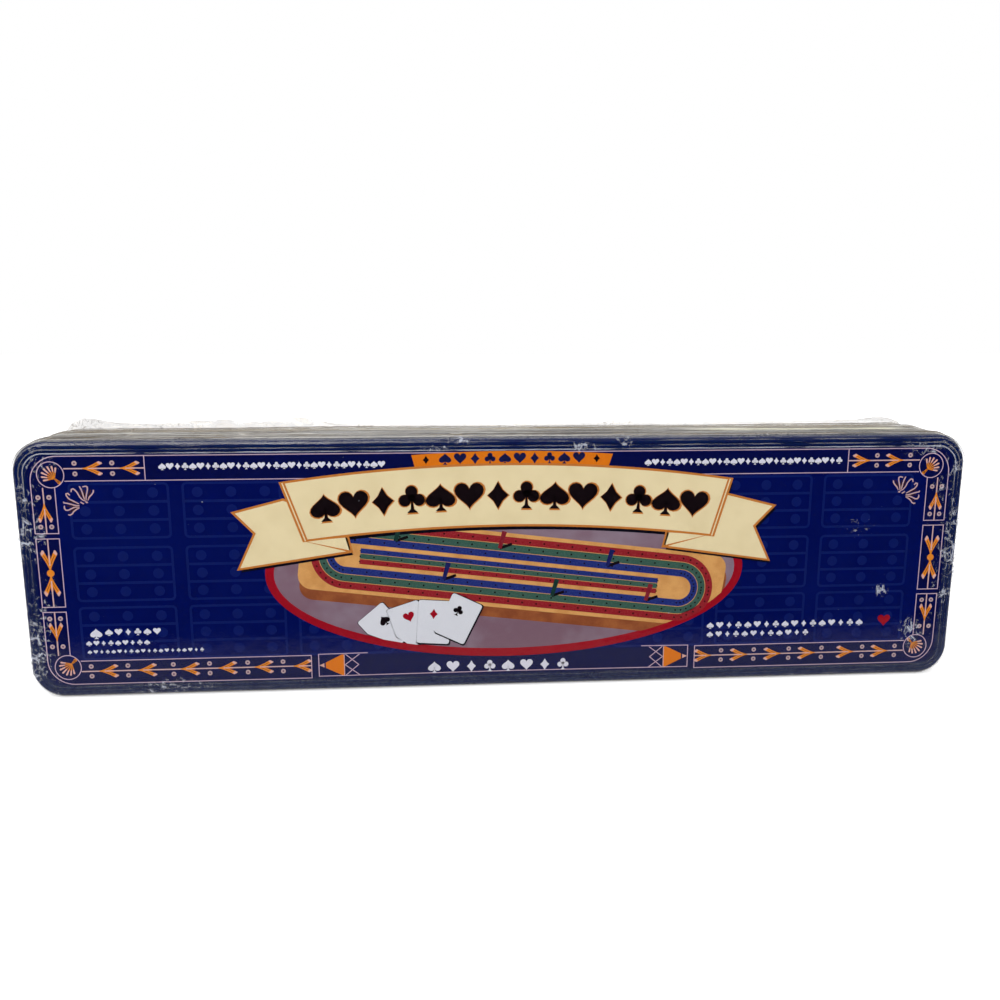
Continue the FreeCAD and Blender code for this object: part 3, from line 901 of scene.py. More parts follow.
@dataclass(frozen=True)
class CartonPrint:
    """The card box: white board printed with a diamond lattice inside a plain frame."""

    ground: Rgb = (172, 30, 38)
    lattice: Rgb = (240, 236, 226)
    board: Rgb = (226, 220, 206)
    centre_x: float = -60.0
    half_length: float = 45.7
    half_height: float = 32.95
    margin: float = 4.0
    line_step: float = 1.4
    pitch: float = 3.2

    def build(self) -> Material:
        """The carton: two sets of slanting lines crossed inside a frame, with soft fibre in the board."""
        t = Tree("carton")
        x, _, z, at = t.place()
        along = (x - self.centre_x) / self.pitch
        across = z / self.pitch
        first = abs((along + across).math("FRACT") - 0.5)
        second = abs((along - across).math("FRACT") - 0.5)
        lines = (first.least(second) < 0.1).most(first.beyond(second) < 0.24)
        edge = (self.half_length - abs(x - self.centre_x)).least(self.half_height - abs(z))
        inside = edge > self.margin
        frame = (abs(edge - self.margin) < 0.35).most(abs(edge - (self.margin - self.line_step)) < 0.18)
        printed = t.mix((lines * inside).most(frame), self.ground, self.lattice)
        fibre = t.noise(at, 2.5, 4.0)
        worn = (1.0 - edge.ramp(0.0, 1.1)) * t.noise(at, 0.9, 3.0).ramp(0.5, 0.7)
        return t.surface(t.principled(
            Base_Color=t.mix(worn, printed, self.board), Roughness=fibre * 0.15 + 0.4,
            Normal=t.bump(fibre, 0.02)))


@dataclass(frozen=True)
class CardStock:
    """A squared deck: the edges of many thin cards."""

    card: Rgb = (240, 238, 230)
    gap: Rgb = (176, 172, 162)
    thickness: float = 0.287

    def build(self) -> Material:
        """The deck: a thin dark line between each card and the next, and a light linen finish."""
        t = Tree("cards")
        _, y, _, at = t.place()
        layer = abs((y / self.thickness).math("FRACT") - 0.5)
        line = layer.ramp(0.3, 0.5) * 0.7
        linen = t.noise(t.stretched(at, (3.0, 3.0, 3.0)), 1.0, 1.0)
        return t.surface(t.principled(
            Base_Color=t.mix(line, self.card, self.gap), Roughness=linen * 0.15 + 0.38,
            Normal=t.bump(linen - line, 0.03)))


@dataclass(frozen=True)
class LeafletPaper:
    """Folded paper with two columns of grey ruled lines and a plain frame."""

    paper: Rgb = (238, 236, 228)
    aged: Rgb = (214, 210, 198)
    print: Rgb = (120, 120, 128)
    centre_x: float = 30.0
    half_length: float = 90.0
    half_height: float = 42.0
    row_pitch: float = 3.0
    rows_half_height: float = 35.0
    column_x: float = 43.0
    column_half_width: float = 37.0
    frame_inset: float = 3.0

    def build(self) -> Material:
        """The paper: rows of broken grey lines inside the margins, and a faint fibre."""
        t = Tree("leaflet_paper")
        x, _, z, at = t.place()
        across = x - self.centre_x
        row = abs(((z + self.row_pitch * 20) / self.row_pitch).math("FRACT") - 0.5) < 0.17
        words = t.noise(t.stretched(at, (0.55, 0.0, 0.33)), 1.0, 0.0) > 0.44
        column = (abs(abs(across) - self.column_x) < self.column_half_width) * (abs(z) < self.rows_half_height)
        frame = abs((self.half_length - abs(across)).least(self.half_height - abs(z)) - self.frame_inset) < 0.2
        marks = (row * words * column).most(frame)
        fibre = t.noise(at, 1.4, 5.0, 0.7)
        toned = t.mix(fibre.ramp(0.3, 0.8) * 0.3, self.paper, self.aged)
        return t.surface(t.principled(
            Base_Color=t.mix(marks * 0.8, toned, self.print), Roughness=fibre * 0.2 + 0.6,
            Normal=t.bump(fibre, 0.03)))


@dataclass(frozen=True)
class FloorPaint:
    """A plain white floor that fades into the background and keeps the object's shadow."""

    white: Rgb = (250, 250, 250)
    black: Rgb = (20, 20, 22)
    lift: float = 0.6
    glossy_dim: float = 0.84
    glossy_near: float = 40.0
    glossy_far: float = 75.0

    def build(self) -> Material:
        """White paint with a little light added for the camera; reflections see it darken in front."""
        t = Tree("floor_paint")
        rays = t.node("ShaderNodeLightPath").outputs
        glossy = Val(t, rays["Is Glossy Ray"])
        seen = (Val(t, rays["Is Camera Ray"]) + glossy + Val(t, rays["Is Transmission Ray"])).clamped()
        paint = t.principled(Base_Color=self.white, Roughness=0.9, Specular_IOR_Level=0.0)
        glow = t.node("ShaderNodeEmission", None, {"Color": (1.0, 1.0, 1.0, 1.0), "Strength": self.lift})
        both = t.node("ShaderNodeAddShader", None, {0: paint, 1: glow.outputs[0]})
        mixed = t.node("ShaderNodeMixShader", None, {0: seen, 1: paint, 2: both.outputs[0]})
        _, y, _, _ = t.place()
        ahead = TIN.face_y - y
        dark = t.principled(Base_Color=self.black, Roughness=0.9, Specular_IOR_Level=0.0)
        dim = ahead.ramp(-12.0, 4.0) * self.glossy_dim
        away = glossy * (dim + (1.0 - dim) * ahead.ramp(self.glossy_near, self.glossy_far))
        faded = t.node("ShaderNodeMixShader", None, {0: away, 1: mixed.outputs[0], 2: dark})
        return t.surface(faded.outputs[0])


# ---------------------------------------------------------------- pieces


def dress(piece: bpy.types.Object, material: Material) -> None:
    """Gives a piece one material in place of any it has."""
    piece.data.materials.clear()
    piece.data.materials.append(material)


@dataclass(frozen=True)
class Piece:
    """How a finished piece is entered in the scene. Edges sharper than smooth_degrees stay sharp."""

    name: str
    body: str
    slot: str
    replaces: tuple[str, ...] = ()
    smooth_degrees: float = 0.0

    def link(self, shape: Shape | Mesh, material: Material) -> None:
        """Puts a piece in the scene, dressed, riding its body.

        Args:
            shape: The piece's shape in its place, or a mesh made of one.
            material: Its finish.
        """
        mesh = shape.mesh(self.name) if isinstance(shape, Shape) else shape
        if self.smooth_degrees:
            mesh.shade_smooth()
            mesh.set_sharp_from_angle(angle=math.radians(self.smooth_degrees))
        made = bpy.data.objects.new(self.name, mesh)
        bpy.context.scene.collection.objects.link(made)
        dress(made, material)
        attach(made, self.body)
        if self.replaces:
            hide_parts(*self.replaces)
        LOG.info("%s: %d faces", self.name, len(mesh.polygons))


def softened_copy(node: bpy.types.Object, name: str, width: float) -> Mesh:
    """A copy of a node's mesh with its edges of more than 40 degrees rounded by two faces.

    Args:
        node: The node whose shape is right but whose edges are sharp.
        name: The new mesh's name.
        width: The rounding's width in millimetres.

    Returns:
        The new mesh.
    """
    work = bmesh.new()
    work.from_mesh(node.data)
    bmesh.ops.remove_doubles(work, verts=work.verts, dist=1e-6)
    bmesh.ops.dissolve_limit(work, angle_limit=math.radians(1.0), verts=work.verts, edges=work.edges)
    sharp = [e for e in work.edges if len(e.link_faces) == 2 and e.calc_face_angle(0.0) > math.radians(40)]
    bmesh.ops.bevel(work, geom=sharp, offset=width * MM, offset_type="OFFSET", segments=2,
                    profile=0.5, affect="EDGES", clamp_overlap=True)
    made = bpy.data.meshes.new(name)
    work.to_mesh(made)
    work.free()
    return made


# ---------------------------------------------------------------- the tin


@dataclass
class Tin:
    """The printed lid's shell and the lacquered base."""

    shoulder: float = 2.6
    furrow_angle: float = 33.0
    furrow_half_angle: float = 9.0
    furrow_depth: float = 0.16
    outer_groove: float = 3.0
    inner_groove: float = 4.45
    groove_half_width: float = 0.36
    groove_depth: float = 0.34
    flat_from: float = 8.0
    back_edge: float = 3.0
    panel_inset: float = 9.0
    panel_margin: float = 3.0
    panel_bead: float = 0.2
    panel_bead_half_width: float = 1.1

    def groove(self, inset: float, behind: float = 0.0) -> np.ndarray:
        """A rounded furrow in the face, or that far behind it: one cosine wave deep, from its inner side."""
        across = np.linspace(1, -1, 9)
        y = TIN.face_y + behind + self.groove_depth * wave(across)
        return np.column_stack([inset + across * self.groove_half_width, y])

    def shoulder_arc(self) -> np.ndarray:
        """The round from the face to the skirt, with a furrow: the radius less one cosine wave."""
        r = self.shoulder
        turn = np.linspace(0, 90, 31)
        off = np.clip((turn - self.furrow_angle) / self.furrow_half_angle, -1, 1)
        radius = r - self.furrow_depth * wave(off)
        angle = np.radians(turn)
        return np.column_stack([r - radius * np.sin(angle), TIN.face_y + r - radius * np.cos(angle)])

    def lid_profile(self) -> tuple[np.ndarray, np.ndarray]:
        """The lid's section from the middle of its face outwards, round the folded edge and back inside.

        Returns:
            The section's points, and for each of them 1 inside the lid and 0 outside.
        """
        r, sheet, top, hem = self.shoulder, TIN.sheet, TIN.face_y, TIN.hem_y
        fold = hem - TIN.hem_width
        parts = [
            [[self.flat_from, top]],
            self.groove(self.inner_groove),
            self.groove(self.outer_groove),
            self.shoulder_arc(),
            [[0.0, fold - 0.5], [-0.12, fold - 0.2], [-sheet, fold]],
            arc(-0.05, hem - 0.3, 0.28, 180, 0, 8),
            [[sheet, hem - 0.6], [sheet, top + r]],
            arc(r, top + r, r - sheet, -180, -90, 8)[1:],
            self.groove(self.outer_groove, sheet)[::-1],
            self.groove(self.inner_groove, sheet)[::-1],
            [[self.flat_from, top + sheet]],
        ]
        printed = sum(len(part) for part in parts[:6])
        profile = np.vstack(parts)
        return profile, (np.arange(len(profile)) >= printed).astype(float)

    def base_profile(self) -> np.ndarray:
        """The base's section: from the back panel over its step and edge, along the wall, to the rolled rim."""
        r, sheet, back, inset = self.back_edge, TIN.sheet, TIN.back_y, TIN.base_inset
        rim = TIN.base_rim_y
        across = np.linspace(1, -1, 9)
        lift = back + self.panel_bead * wave(across)
        rows = [
            [[self.panel_inset + self.panel_margin, back]],
            np.column_stack([self.panel_inset + across * self.panel_bead_half_width, lift]),
            arc(inset + r, back - r, r, 90, 180, 10),
            arc(inset, TIN.bead_y, TIN.bead_r, 90, 270, 9),
            arc(inset + 0.3, rim + 0.3, 0.3, 180, 360, 7),
            [[inset + 0.6, rim + TIN.base_hem - 0.1], [inset + 0.45, rim + TIN.base_hem],
             [inset + sheet, rim + TIN.base_hem], [inset + sheet, back - r]],
            arc(inset + r, back - r, r - sheet, 180, 90, 8)[1:],
            [[self.panel_inset + self.panel_margin, back - sheet]],
        ]
        return np.vstack(rows)

    def shell(self, profile: np.ndarray) -> Shape:
        """A section carried round the tin's outline, closed by a flat panel at each end of the section."""
        loop = RoundedLoop(TIN.half_length, TIN.half_height, TIN.corner)
        return Shape().shell(loop.sweep(profile[:, 0], profile[:, 1]))

    def build(self) -> None:
        """Makes both halves of the tin."""
        profile, inside = self.lid_profile()
        lid = self.shell(profile).mesh("lid_shell")
        marks = lid.attributes.new(Enamel.inside_mark, "FLOAT", "POINT")
        marks.data.foreach_set("value", np.repeat(inside, len(lid.vertices) // len(profile)))
        Piece("lid_shell", "lid", "lid_enamel", ("lid",), 35).link(lid, Enamel().build())
        base = self.shell(self.base_profile())
        Piece("base_shell", "base", "gold_lacquer", ("base",), 35).link(base, GoldLacquer().build())


# ---------------------------------------------------------------- the lid's print


class Suit(Enum):
    """The four card suits, as plain pips."""

    SPADE = "spade"
    HEART = "heart"
    DIAMOND = "diamond"
    CLUB = "club"

    def outlines(self) -> list[Outline]:
        """The pip's parts, one unit tall about its middle.

        A heart is x = 16 sin cubed, z = 13 cos - 5 cos 2t - 2 cos 3t - cos 4t; a spade is the same turned
        over on a flared stem; a club is three discs on it; a diamond has slightly hollow sides.
        """
        t = np.linspace(0, 2 * math.pi, 28, endpoint=False)
        heart = np.column_stack([
            16 * np.sin(t) ** 3, 13 * np.cos(t) - 5 * np.cos(2 * t) - 2 * np.cos(3 * t) - np.cos(4 * t)]) / 30
        heart[:, 1] += 0.08
        stem = np.array([(-0.2, -0.5), (-0.06, -0.36), (-0.03, 0.0), (0.03, 0.0), (0.06, -0.36), (0.2, -0.5)])
        if self is Suit.HEART:
            return [heart]
        if self is Suit.SPADE:
            return [heart * [1.0, -0.86] + [0, 0.07], stem]
        if self is Suit.CLUB:
            discs = [circle(x, z, 0.22, 14) for x, z in ((-0.25, -0.04), (0.25, -0.04), (0.0, 0.27))]
            return [*discs, circle(0, 0.05, 0.13, 10), stem]
        side = np.array([(0.0, 0.5), (-0.17, 0.2), (-0.38, 0.0), (-0.17, -0.2)])
        return [np.vstack([side, -side])]


@dataclass
class Layers:
    """The print as thin plates of ink, one shape for each colour, each set a little higher than the last."""

    step: float = 0.015
    root: float = 0.06
    shapes: dict[str, Shape] = field(default_factory=dict)

    def front(self, level: int) -> float:
        """The depth of a level's face."""
        return TIN.face_y - level * self.step

    def fill(self, ink: str, level: int, *outlines: Outline) -> None:
        """Prints filled outlines in an ink at a level."""
        shape = self.shapes.setdefault(ink, Shape())
        for outline in outlines:
            shape.slab(outline, self.front(level), TIN.face_y + self.root)

    def line(self, ink: str, level: int, width: float, *paths: Sequence[Sequence[float]]) -> None:
        """Prints open lines of one width."""
        self.fill(ink, level, *(stroke(np.array(path, float), width) for path in paths))

    def loop(self, ink: str, level: int, width: float, *paths: Outline) -> None:
        """Prints closed lines of one width."""
        shape = self.shapes.setdefault(ink, Shape())
        for path in paths:
            shape.band(path, width, self.front(level), TIN.face_y + self.root)

    def pip(self, ink: str, level: int, suit: Suit, x: float, z: float, size: float, turn: float = 0.0,
            grown: float = 1.0) -> None:
        """Prints a card suit of the given height."""
        self.fill(ink, level, *(placed(part * grown, x, z, turn, size) for part in suit.outlines()))


# The inks, each with its colour and the tone mottled into it.
INKS = [
    Ink("rule", (206, 178, 196), (172, 146, 178)),
    Ink("rule_warm", (214, 178, 176), (188, 148, 158)),
    Ink("orange", (232, 138, 30), (224, 148, 84), 0.5, 0.8),
    Ink("orange_flat", (226, 122, 14), (206, 104, 12)),
    Ink("ember", (150, 74, 26), (120, 56, 24)),
    Ink("blush", (226, 178, 166), (206, 150, 140)),
    Ink("umber", (52, 24, 34), (34, 16, 34)),
    Ink("plum", (112, 78, 98), (88, 58, 84)),
    Ink("petal", (206, 172, 172), (186, 150, 158)),
    Ink("sand", (196, 170, 172), (176, 148, 156)),
    Ink("field", (2, 24, 98), (0, 16, 88)),
    Ink("field_dot", (0, 21, 98), (0, 14, 86)),
    Ink("cream", (238, 222, 178), (222, 204, 158), 0.5, 0.08),
    Ink("ribbon_edge", (200, 124, 54), (166, 92, 40)),
    Ink("shade", (8, 8, 26), (4, 6, 18)),
    Ink("dark", (22, 10, 16), (8, 6, 12)),
    Ink("navy", (20, 24, 74), (16, 20, 64)),
    Ink("white", (226, 226, 236), (196, 198, 216)),
    Ink("red", (160, 2, 28), (138, 2, 24)),
    Ink("table", (128, 98, 112), (150, 136, 150), 0.8, 0.03),
    Ink("oak", (222, 166, 98), (192, 130, 68), 0.7, 0.12),
    Ink("oak_side", (140, 74, 42), (180, 108, 58), 0.7, 0.12),
    Ink("lane_red", (146, 26, 36), (180, 70, 74), 0.4, 1.5),
    Ink("lane_green", (54, 90, 78), (90, 122, 110), 0.4, 1.5),
    Ink("lane_blue", (26, 42, 118), (70, 86, 156), 0.4, 1.5),
    Ink("card", (222, 224, 230), (204, 206, 216)),
    Ink("peg_blue", (20, 26, 92), (60, 66, 130)),
    Ink("peg_green", (22, 56, 50), (60, 92, 84)),
    Ink("peg_red", (128, 24, 40), (170, 80, 90)),
]

# Rows of small marks: first and last place, height, count and size.
MARK_ROWS = [
    (-140.0, -51.7, 43.9, 30, 2.9), (60.0, 143.0, 43.6, 28, 2.9), (-31.0, 25.0, -45.0, 8, 5.2),
    (-166.4, -146.8, -25.9, 6, 3.0), (-174.8, -151.2, -30.6, 9, 2.3), (-174.8, -128.8, -34.4, 20, 1.7),
    (90.0, 157.5, -29.1, 17, 3.0), (90.0, 133.2, -33.2, 12, 2.7), (-171.6, -171.5, -26.4, 1, 4.6),
]

# The left loose fan's hooked fronds, from root to tip, and the dark leaves behind them.
FRONDS = [
    [(-171.2, 30.0), (-172.5, 30.6), (-173.5, 31.9), (-174.2, 33.6), (-175.1, 34.7), (-175.7, 35.2),
     (-176.4, 34.9), (-176.6, 33.8)],
    [(-171.5, 30.6), (-171.9, 32.0), (-172.2, 33.6), (-172.6, 34.9), (-173.2, 36.2)],
    [(-171.0, 30.3), (-170.9, 31.7), (-170.5, 33.3), (-170.1, 34.7), (-170.1, 35.8), (-170.7, 36.2),
     (-172.0, 35.9)],
    [(-170.3, 30.3), (-169.6, 31.7), (-168.5, 32.8), (-167.9, 33.7), (-167.8, 34.6)],
    [(-173.9, 28.9), (-175.0, 29.5), (-176.2, 30.2), (-177.7, 31.0), (-178.6, 32.3), (-178.7, 33.1),
     (-177.9, 33.3), (-177.2, 32.5)],
    [(-173.8, 28.2), (-175.5, 28.3), (-177.0, 28.8), (-178.5, 29.2), (-179.7, 29.4), (-180.0, 29.9)],
    [(-173.8, 27.6), (-175.6, 27.6), (-177.2, 26.9), (-178.3, 26.3), (-179.3, 26.4), (-179.8, 27.2),
     (-179.7, 28.2)],
    [(-173.9, 27.2), (-175.0, 26.7), (-176.2, 25.8), (-176.9, 24.8), (-177.8, 24.3), (-178.5, 24.5)],
    [(-173.3, 29.7), (-172.6, 29.2), (-172.0, 28.9)], [(-171.2, 30.0), (-170.9, 29.4), (-170.3, 29.6)],
]
FROND_SHADES = [
    [(-171.6, 30.4), (-172.6, 32.4), (-173.4, 34.5)], [(-171.2, 30.6), (-171.4, 32.6), (-171.5, 34.9)],
    [(-170.5, 30.6), (-169.7, 32.6), (-168.7, 34.7)], [(-174.1, 28.8), (-176.3, 29.7), (-178.6, 30.4)],
    [(-174.0, 27.9), (-176.2, 28.1), (-178.8, 27.9)], [(-174.1, 27.4), (-175.9, 26.7), (-178.0, 25.4)],
]


@dataclass
class LidPrint:
    """The lid's decoration: a panelled border, a faint field of peg tracks, a ribbon and an oval scene."""

    line_width: float = 0.35
    frame_x: float = 192.2
    frame_z: float = 48.47
    frame_corner: float = 10.5
    inner_x: float = 182.9
    inner_z: float = 38.3
    roundel_x: float = 184.15
    roundel_z: float = 40.95
    roundel_r: float = 5.3
    top_divider: float = 147.0
    bottom_panel: float = 83.4
    small_panel: float = 80.3
    small_low: float = 47.8
    small_high: float = 37.9
    side_panel: float = 14.5
    side_next: float = 16.7
    oval_x: float = 0.9
    oval_z: float = -2.5
    oval_a: float = 102.0
    oval_b: float = 38.2
    oval_rim: float = 3.6
    top_z: float = 43.4
    low_z: float = -42.9
    side_x: float = 187.6
    top_ears: tuple[float, ...] = (167.8, 153.1)
    top_rings: tuple[float, ...] = (174.45, 159.7)
    low_ears: tuple[float, ...] = (168.0, 152.2, 134.5, 118.9, 103.7, 87.4)
    low_rings: tuple[float, ...] = (174.8, 159.8, 141.1, 126.1, 110.2, 95.4)
    block_width: float = 39.0
    block_height: float = 22.5
    block_lefts: tuple[float, float, int] = (-177.4, 44.97, 8)
    block_tops: Triple = (37.0, 10.4, -15.2)
    dot_places: Triple = (5.7, 19.2, 32.9)
    layers: Layers = field(default_factory=Layers)

    def both(self, outline: Outline) -> tuple[Outline, Outline]:
        """An outline and its mirror image."""
        return outline, mirrored(outline)

    def frame_lines(self) -> None:
        """The pale rules: outer frame, inner frame, panels and roundels."""
        fx, fz, r = self.frame_x, self.frame_z, self.frame_corner
        corner = arc(-fx + r, fz - r, r, 180, 90)
        top = np.vstack([[(-fx, self.side_next)], corner, mirrored(corner)[::-1], [(fx, self.side_next)]])
        low = arc(-fx + r, -fz + r, r, 180, 270)
        stop = self.roundel_z - self.roundel_r
        paths = [
            [(-fx, self.side_next), (-self.inner_x, self.side_next), (-self.inner_x, stop)],
            np.vstack([[(-self.inner_x, -stop), (-self.inner_x, -self.side_next), (-fx, -self.side_next)], low,
                       [(-self.bottom_panel, -fz), (-self.bottom_panel, -self.inner_z),
                        (-self.roundel_x + self.roundel_r, -self.inner_z)]]),
            [(-self.top_divider, self.inner_z), (-self.top_divider, fz)],
        ]
        inner = self.roundel_x - self.roundel_r
        low, high, edge, open_end = -self.small_low, -self.small_high, self.small_panel, 59.5
        lines = [top]
        for path in paths:
            lines += self.both(np.array(path, float))
        lines += [[(-inner, self.inner_z), (inner, self.inner_z)],
                  [(-open_end, high + 0.2), (-edge, high), (-edge, low), (0, low + 0.3), (edge, low), (edge, high),
                   (open_end, high + 0.2)]]
        self.layers.line("rule", 2, self.line_width, *lines)
        side = rectangle(-fx, -self.side_panel, -self.inner_x, self.side_panel)
        self.layers.loop("rule", 2, self.line_width, *self.both(side))
        for sx in (-1, 1):
            for sz in (-1, 1):
                self.roundel(sx, sz)

    def roundel(self, sx: int, sz: int) -> None:
        """A ring with a fan of seven thin fronds on a stem from its inner lower corner.

        Args:
            sx: Side, -1 for left.
            sz: -1 for the bottom.
        """
        x, z = sx * self.roundel_x, sz * self.roundel_z
        self.layers.loop("rule", 3, self.line_width, circle(x, z, self.roundel_r, 40))
        inwards = np.array([sx, sz])
        fork, foot = (np.array([x, z]) - inwards * reach for reach in (1.6, 3.15))
        stem = np.array([foot, (fork + foot) / 2, fork])
        heading = math.degrees(math.atan2(sz, sx))
        for spread in np.linspace(-54, 54, 7):
            reach = 5.5 - 1.2 * (spread / 54) ** 2
            frond = self.frond(reach, 0.2, 0.74)
            self.layers.fill("orange", 3, placed(frond, *fork, heading + spread))
            tip = self.frond(reach * 0.4, 0.5, 0.74) + [reach * 0.6, 0.0]
            self.layers.fill("blush", 4, placed(tip, *fork, heading + spread))
        self.layers.fill("orange", 5, stroke(stem, np.array([1.15, 0.85, 0.5])))
        self.layers.fill("ember", 6, stroke(stem, 0.22))
        self.layers.fill("orange", 5, circle(*foot, 0.72, 12))

    @staticmethod
    def frond(reach: float, root: float, tip: float) -> Outline:
        """A straight leaf along +X that widens from its root to a round tip."""
        s = np.linspace(0, 1, 8)
        body = stroke(np.column_stack([s * reach, 0.0 * s]), root + (tip - root) * s**1.3)
        end = arc(reach, 0.0, tip / 2, -90, 90, 6)[1:-1]
        return np.vstack([body[:8], end, body[8:]])

    @staticmethod
    def trident() -> tuple[Outline, list[Outline]]:
        """A wheat-ear shape with a pointed tail and three blunt prongs, and its pale tips.

        Returns:
            The ear's outline about its fork with the prongs towards +X, and the tips of the side prongs.
        """
        lower = np.array([
            (-3.7, -0.12), (-2.3, -0.42), (-1.0, -0.95), (0.5, -1.65), (2.5, -2.75), (2.95, -2.95), (4.2, -2.3),
            (4.25, -1.95), (3.2, -1.4), (1.7, -0.8), (0.7, -0.42), (2.3, -0.36)])
        upper = lower[::-1] * [1, -1]
        whole = np.vstack([lower, upper])
        tip = np.array([(2.2, -2.59), (2.5, -2.75), (2.95, -2.95), (4.2, -2.3), (4.25, -1.95), (3.3, -1.46)])
        return whole, [tip, tip * [1, -1]]

    def ear(self, x: float, z: float, heading: float, scale: float = 1.0) -> None:
        """Prints one ear whose prongs point along the heading, in degrees."""
        whole, tips = self.trident()
        self.layers.fill("orange", 4, placed(whole, x, z, heading, scale))
        self.layers.fill("blush", 5, *(placed(tip, x, z, heading, scale) for tip in tips))
        vein = np.array([(-1.4, 0.0), (0.6, 0.0), (3.0, 0.0)])
        self.layers.fill("rule_warm", 5, placed(stroke(vein, 0.42), x, z, heading, scale))
        for side in (-1, 1):
            rib = np.array([(-0.9, 0.4 * side), (0.8, 1.1 * side), (2.3, 1.9 * side)])
            self.layers.fill("ember", 5, placed(stroke(rib, 0.24), x, z, heading, scale))

    def pair(self, x: float, z: float, across: Pair) -> None:
        """Prints two rings with dark middles either side of a point."""
        for side in (-2.15, 2.15):
            at = (x + across[0] * side, z + across[1] * side)
            self.layers.fill("sand", 3, circle(*at, 1.0, 14))
            self.layers.fill("plum", 4, circle(*at, 0.42, 10))

    def border(self) -> None:
        """Ears, dots and stems in every panel of the border."""
        for sx in (-1, 1):
            inwards, side = 0.0 if sx < 0 else 180.0, sx * self.side_x
            edge = self.roundel_x - self.roundel_r
            for z, end in ((self.top_z, self.top_divider), (self.low_z, self.bottom_panel)):
                self.layers.line("rule_warm", 3, 0.5, [(sx * edge, z), (sx * end, z)])
            for z, ears, rings in ((self.top_z, self.top_ears, self.top_rings),
                                   (self.low_z, self.low_ears, self.low_rings)):
                for x in ears:
                    self.ear(sx * x, z, inwards)
                for x in rings:
                    self.pair(sx * x, z, (0, 1))
            for sz in (-1, 1):
                stop = self.roundel_z - self.roundel_r
                self.layers.line("rule_warm", 3, 0.5, [(side, sz * stop), (side, sz * self.side_next)],
                                 [(side, sz * 1.2), (side, sz * self.side_panel)])
                self.ear(side, sz * 25.6, -90.0 * sz)
                self.ear(side, sz * 4.9, 90.0 * sz, 1.15)
                self.pair(side, sz * 31.7, (1, 0))
                self.pair(side, sz * 19.5, (1, 0))
            self.layers.fill("orange", 6, circle(side, 0, 1.5, 16))
            self.small_panel_print(sx)

    def small_panel_print(self, sx: int) -> None:
        """The short bottom panel: a triangle beside a crossed lattice."""
        low, high = -self.small_low + 0.2, -self.small_high - 0.3
        mid, width, side = (low + high) / 2, 0.34, np.array([sx, 1.0])
        self.layers.fill("blush", 3, side * [(80.1, mid), (78.0, mid + 0.95), (78.0, mid - 0.95)])
        self.layers.fill("orange_flat", 3, side * [
            (77.4, mid + 1.2), (77.4, mid - 1.2), (70.4, low), (69.4, low), (69.4, high), (70.4, high)])
        self.layers.line("rule_warm", 4, width, side * [(69.5, low), (69.5, high)])
        for path in ([(68.9, high), (63.4, mid), (68.9, low)], [(69.2, mid), (63.0, high)], [(69.2, mid), (63.0, low)]):
            self.layers.line("rule", 3, width, side * path)

    def loose_fans(self) -> None:
        """The two ornaments near the field's upper corners: two groups of four hooked fronds each."""
        for path in FROND_SHADES:
            leaf = stroke(np.array(path), np.array([0.3, 0.8, 0.5]))
            self.layers.fill("umber", 2, *self.both(leaf))
        for path in FRONDS:
            s, ends = np.linspace(0, 1, 16), np.linspace(0, 1, len(path))
            fine = np.column_stack([np.interp(s, ends, axis) for axis in zip(*path)])
            leaf = stroke(fine, np.interp(s, [0, 0.2, 0.9, 1], [0.3, 0.5, 0.52, 0.36]))
            self.layers.fill("petal", 3, *self.both(leaf))

    def peg_field(self) -> None:
        """The faint field: eight columns of three blocks, each with three lanes of three dots."""
        width, height = self.block_width, self.block_height
        first, pitch, count = self.block_lefts
        for left in first + pitch * np.arange(count):
            for top in self.block_tops:
                block = RoundedLoop(width / 2, height / 2, 1.5, 40.0, 4).sample()[0]
                self.layers.loop("field", 1, 1.0, block + [left + width / 2, top - height / 2])
                for row in range(3):
                    z = top - height * (row + 0.5) / 3
                    if row:
                        edge = top - height * row / 3
                        self.layers.line("field", 1, 1.1, [(left + 0.3, edge), (left + width - 0.3, edge)])
                    self.layers.fill("field_dot", 1, *(circle(left + x, z, 2.2, 16) for x in self.dot_places))

    def ribbon(self) -> None:
        """The cream ribbon: tails behind, folds, and an arched band with a warm edge and a dark shadow."""
        for sx in (-1, 1):
            def at(x: float, z: float, side: int = sx) -> Pair:
                """A point of the left tail, or of the right one."""
                return (1.4 - x if side > 0 else x + 1.2, z)
            tail = np.array([at(-114.2, 24.3), at(-93.5, 29.6), at(-70.0, 20.0), at(-66.5, 7.0), at(-113.0, 0.2),
                             at(-105.8, 15.4)])
            fold = np.array([at(-86.0, 11.9), at(-67.5, 13.6), at(-66.0, 7.0)])
            self.layers.fill("shade", 7, tail + [0.9, -1.4])
            self.layers.fill("cream", 8, tail)
            self.layers.loop("ribbon_edge", 9, 0.95, tail)
            self.layers.fill("cream", 9, fold)
            self.layers.loop("ribbon_edge", 10, 0.8, fold)
        top = arc_through((-93.2, 36.5), (-2.0, 43.4), (96.4, 36.1))
        bottom = arc_through((-84.6, 11.9), (0.4, 17.3), (89.4, 11.5))
        band = np.vstack([top, bottom[::-1]])
        self.layers.fill("shade", 7, band + [0.6, -1.8])
        self.layers.fill("cream", 11, band)
        self.layers.loop("ribbon_edge", 12, 0.95, band)
        for upper, lower, inwards in ((top[0], bottom[0], 0.75), (top[-1], bottom[-1], -0.75)):
            end = np.array([upper, lower]) + [inwards, 0.0]
            self.layers.line("ribbon_edge", 13, 2.1, end)
            self.layers.line("cream", 14, 0.5, end)
        self.title(top, bottom)

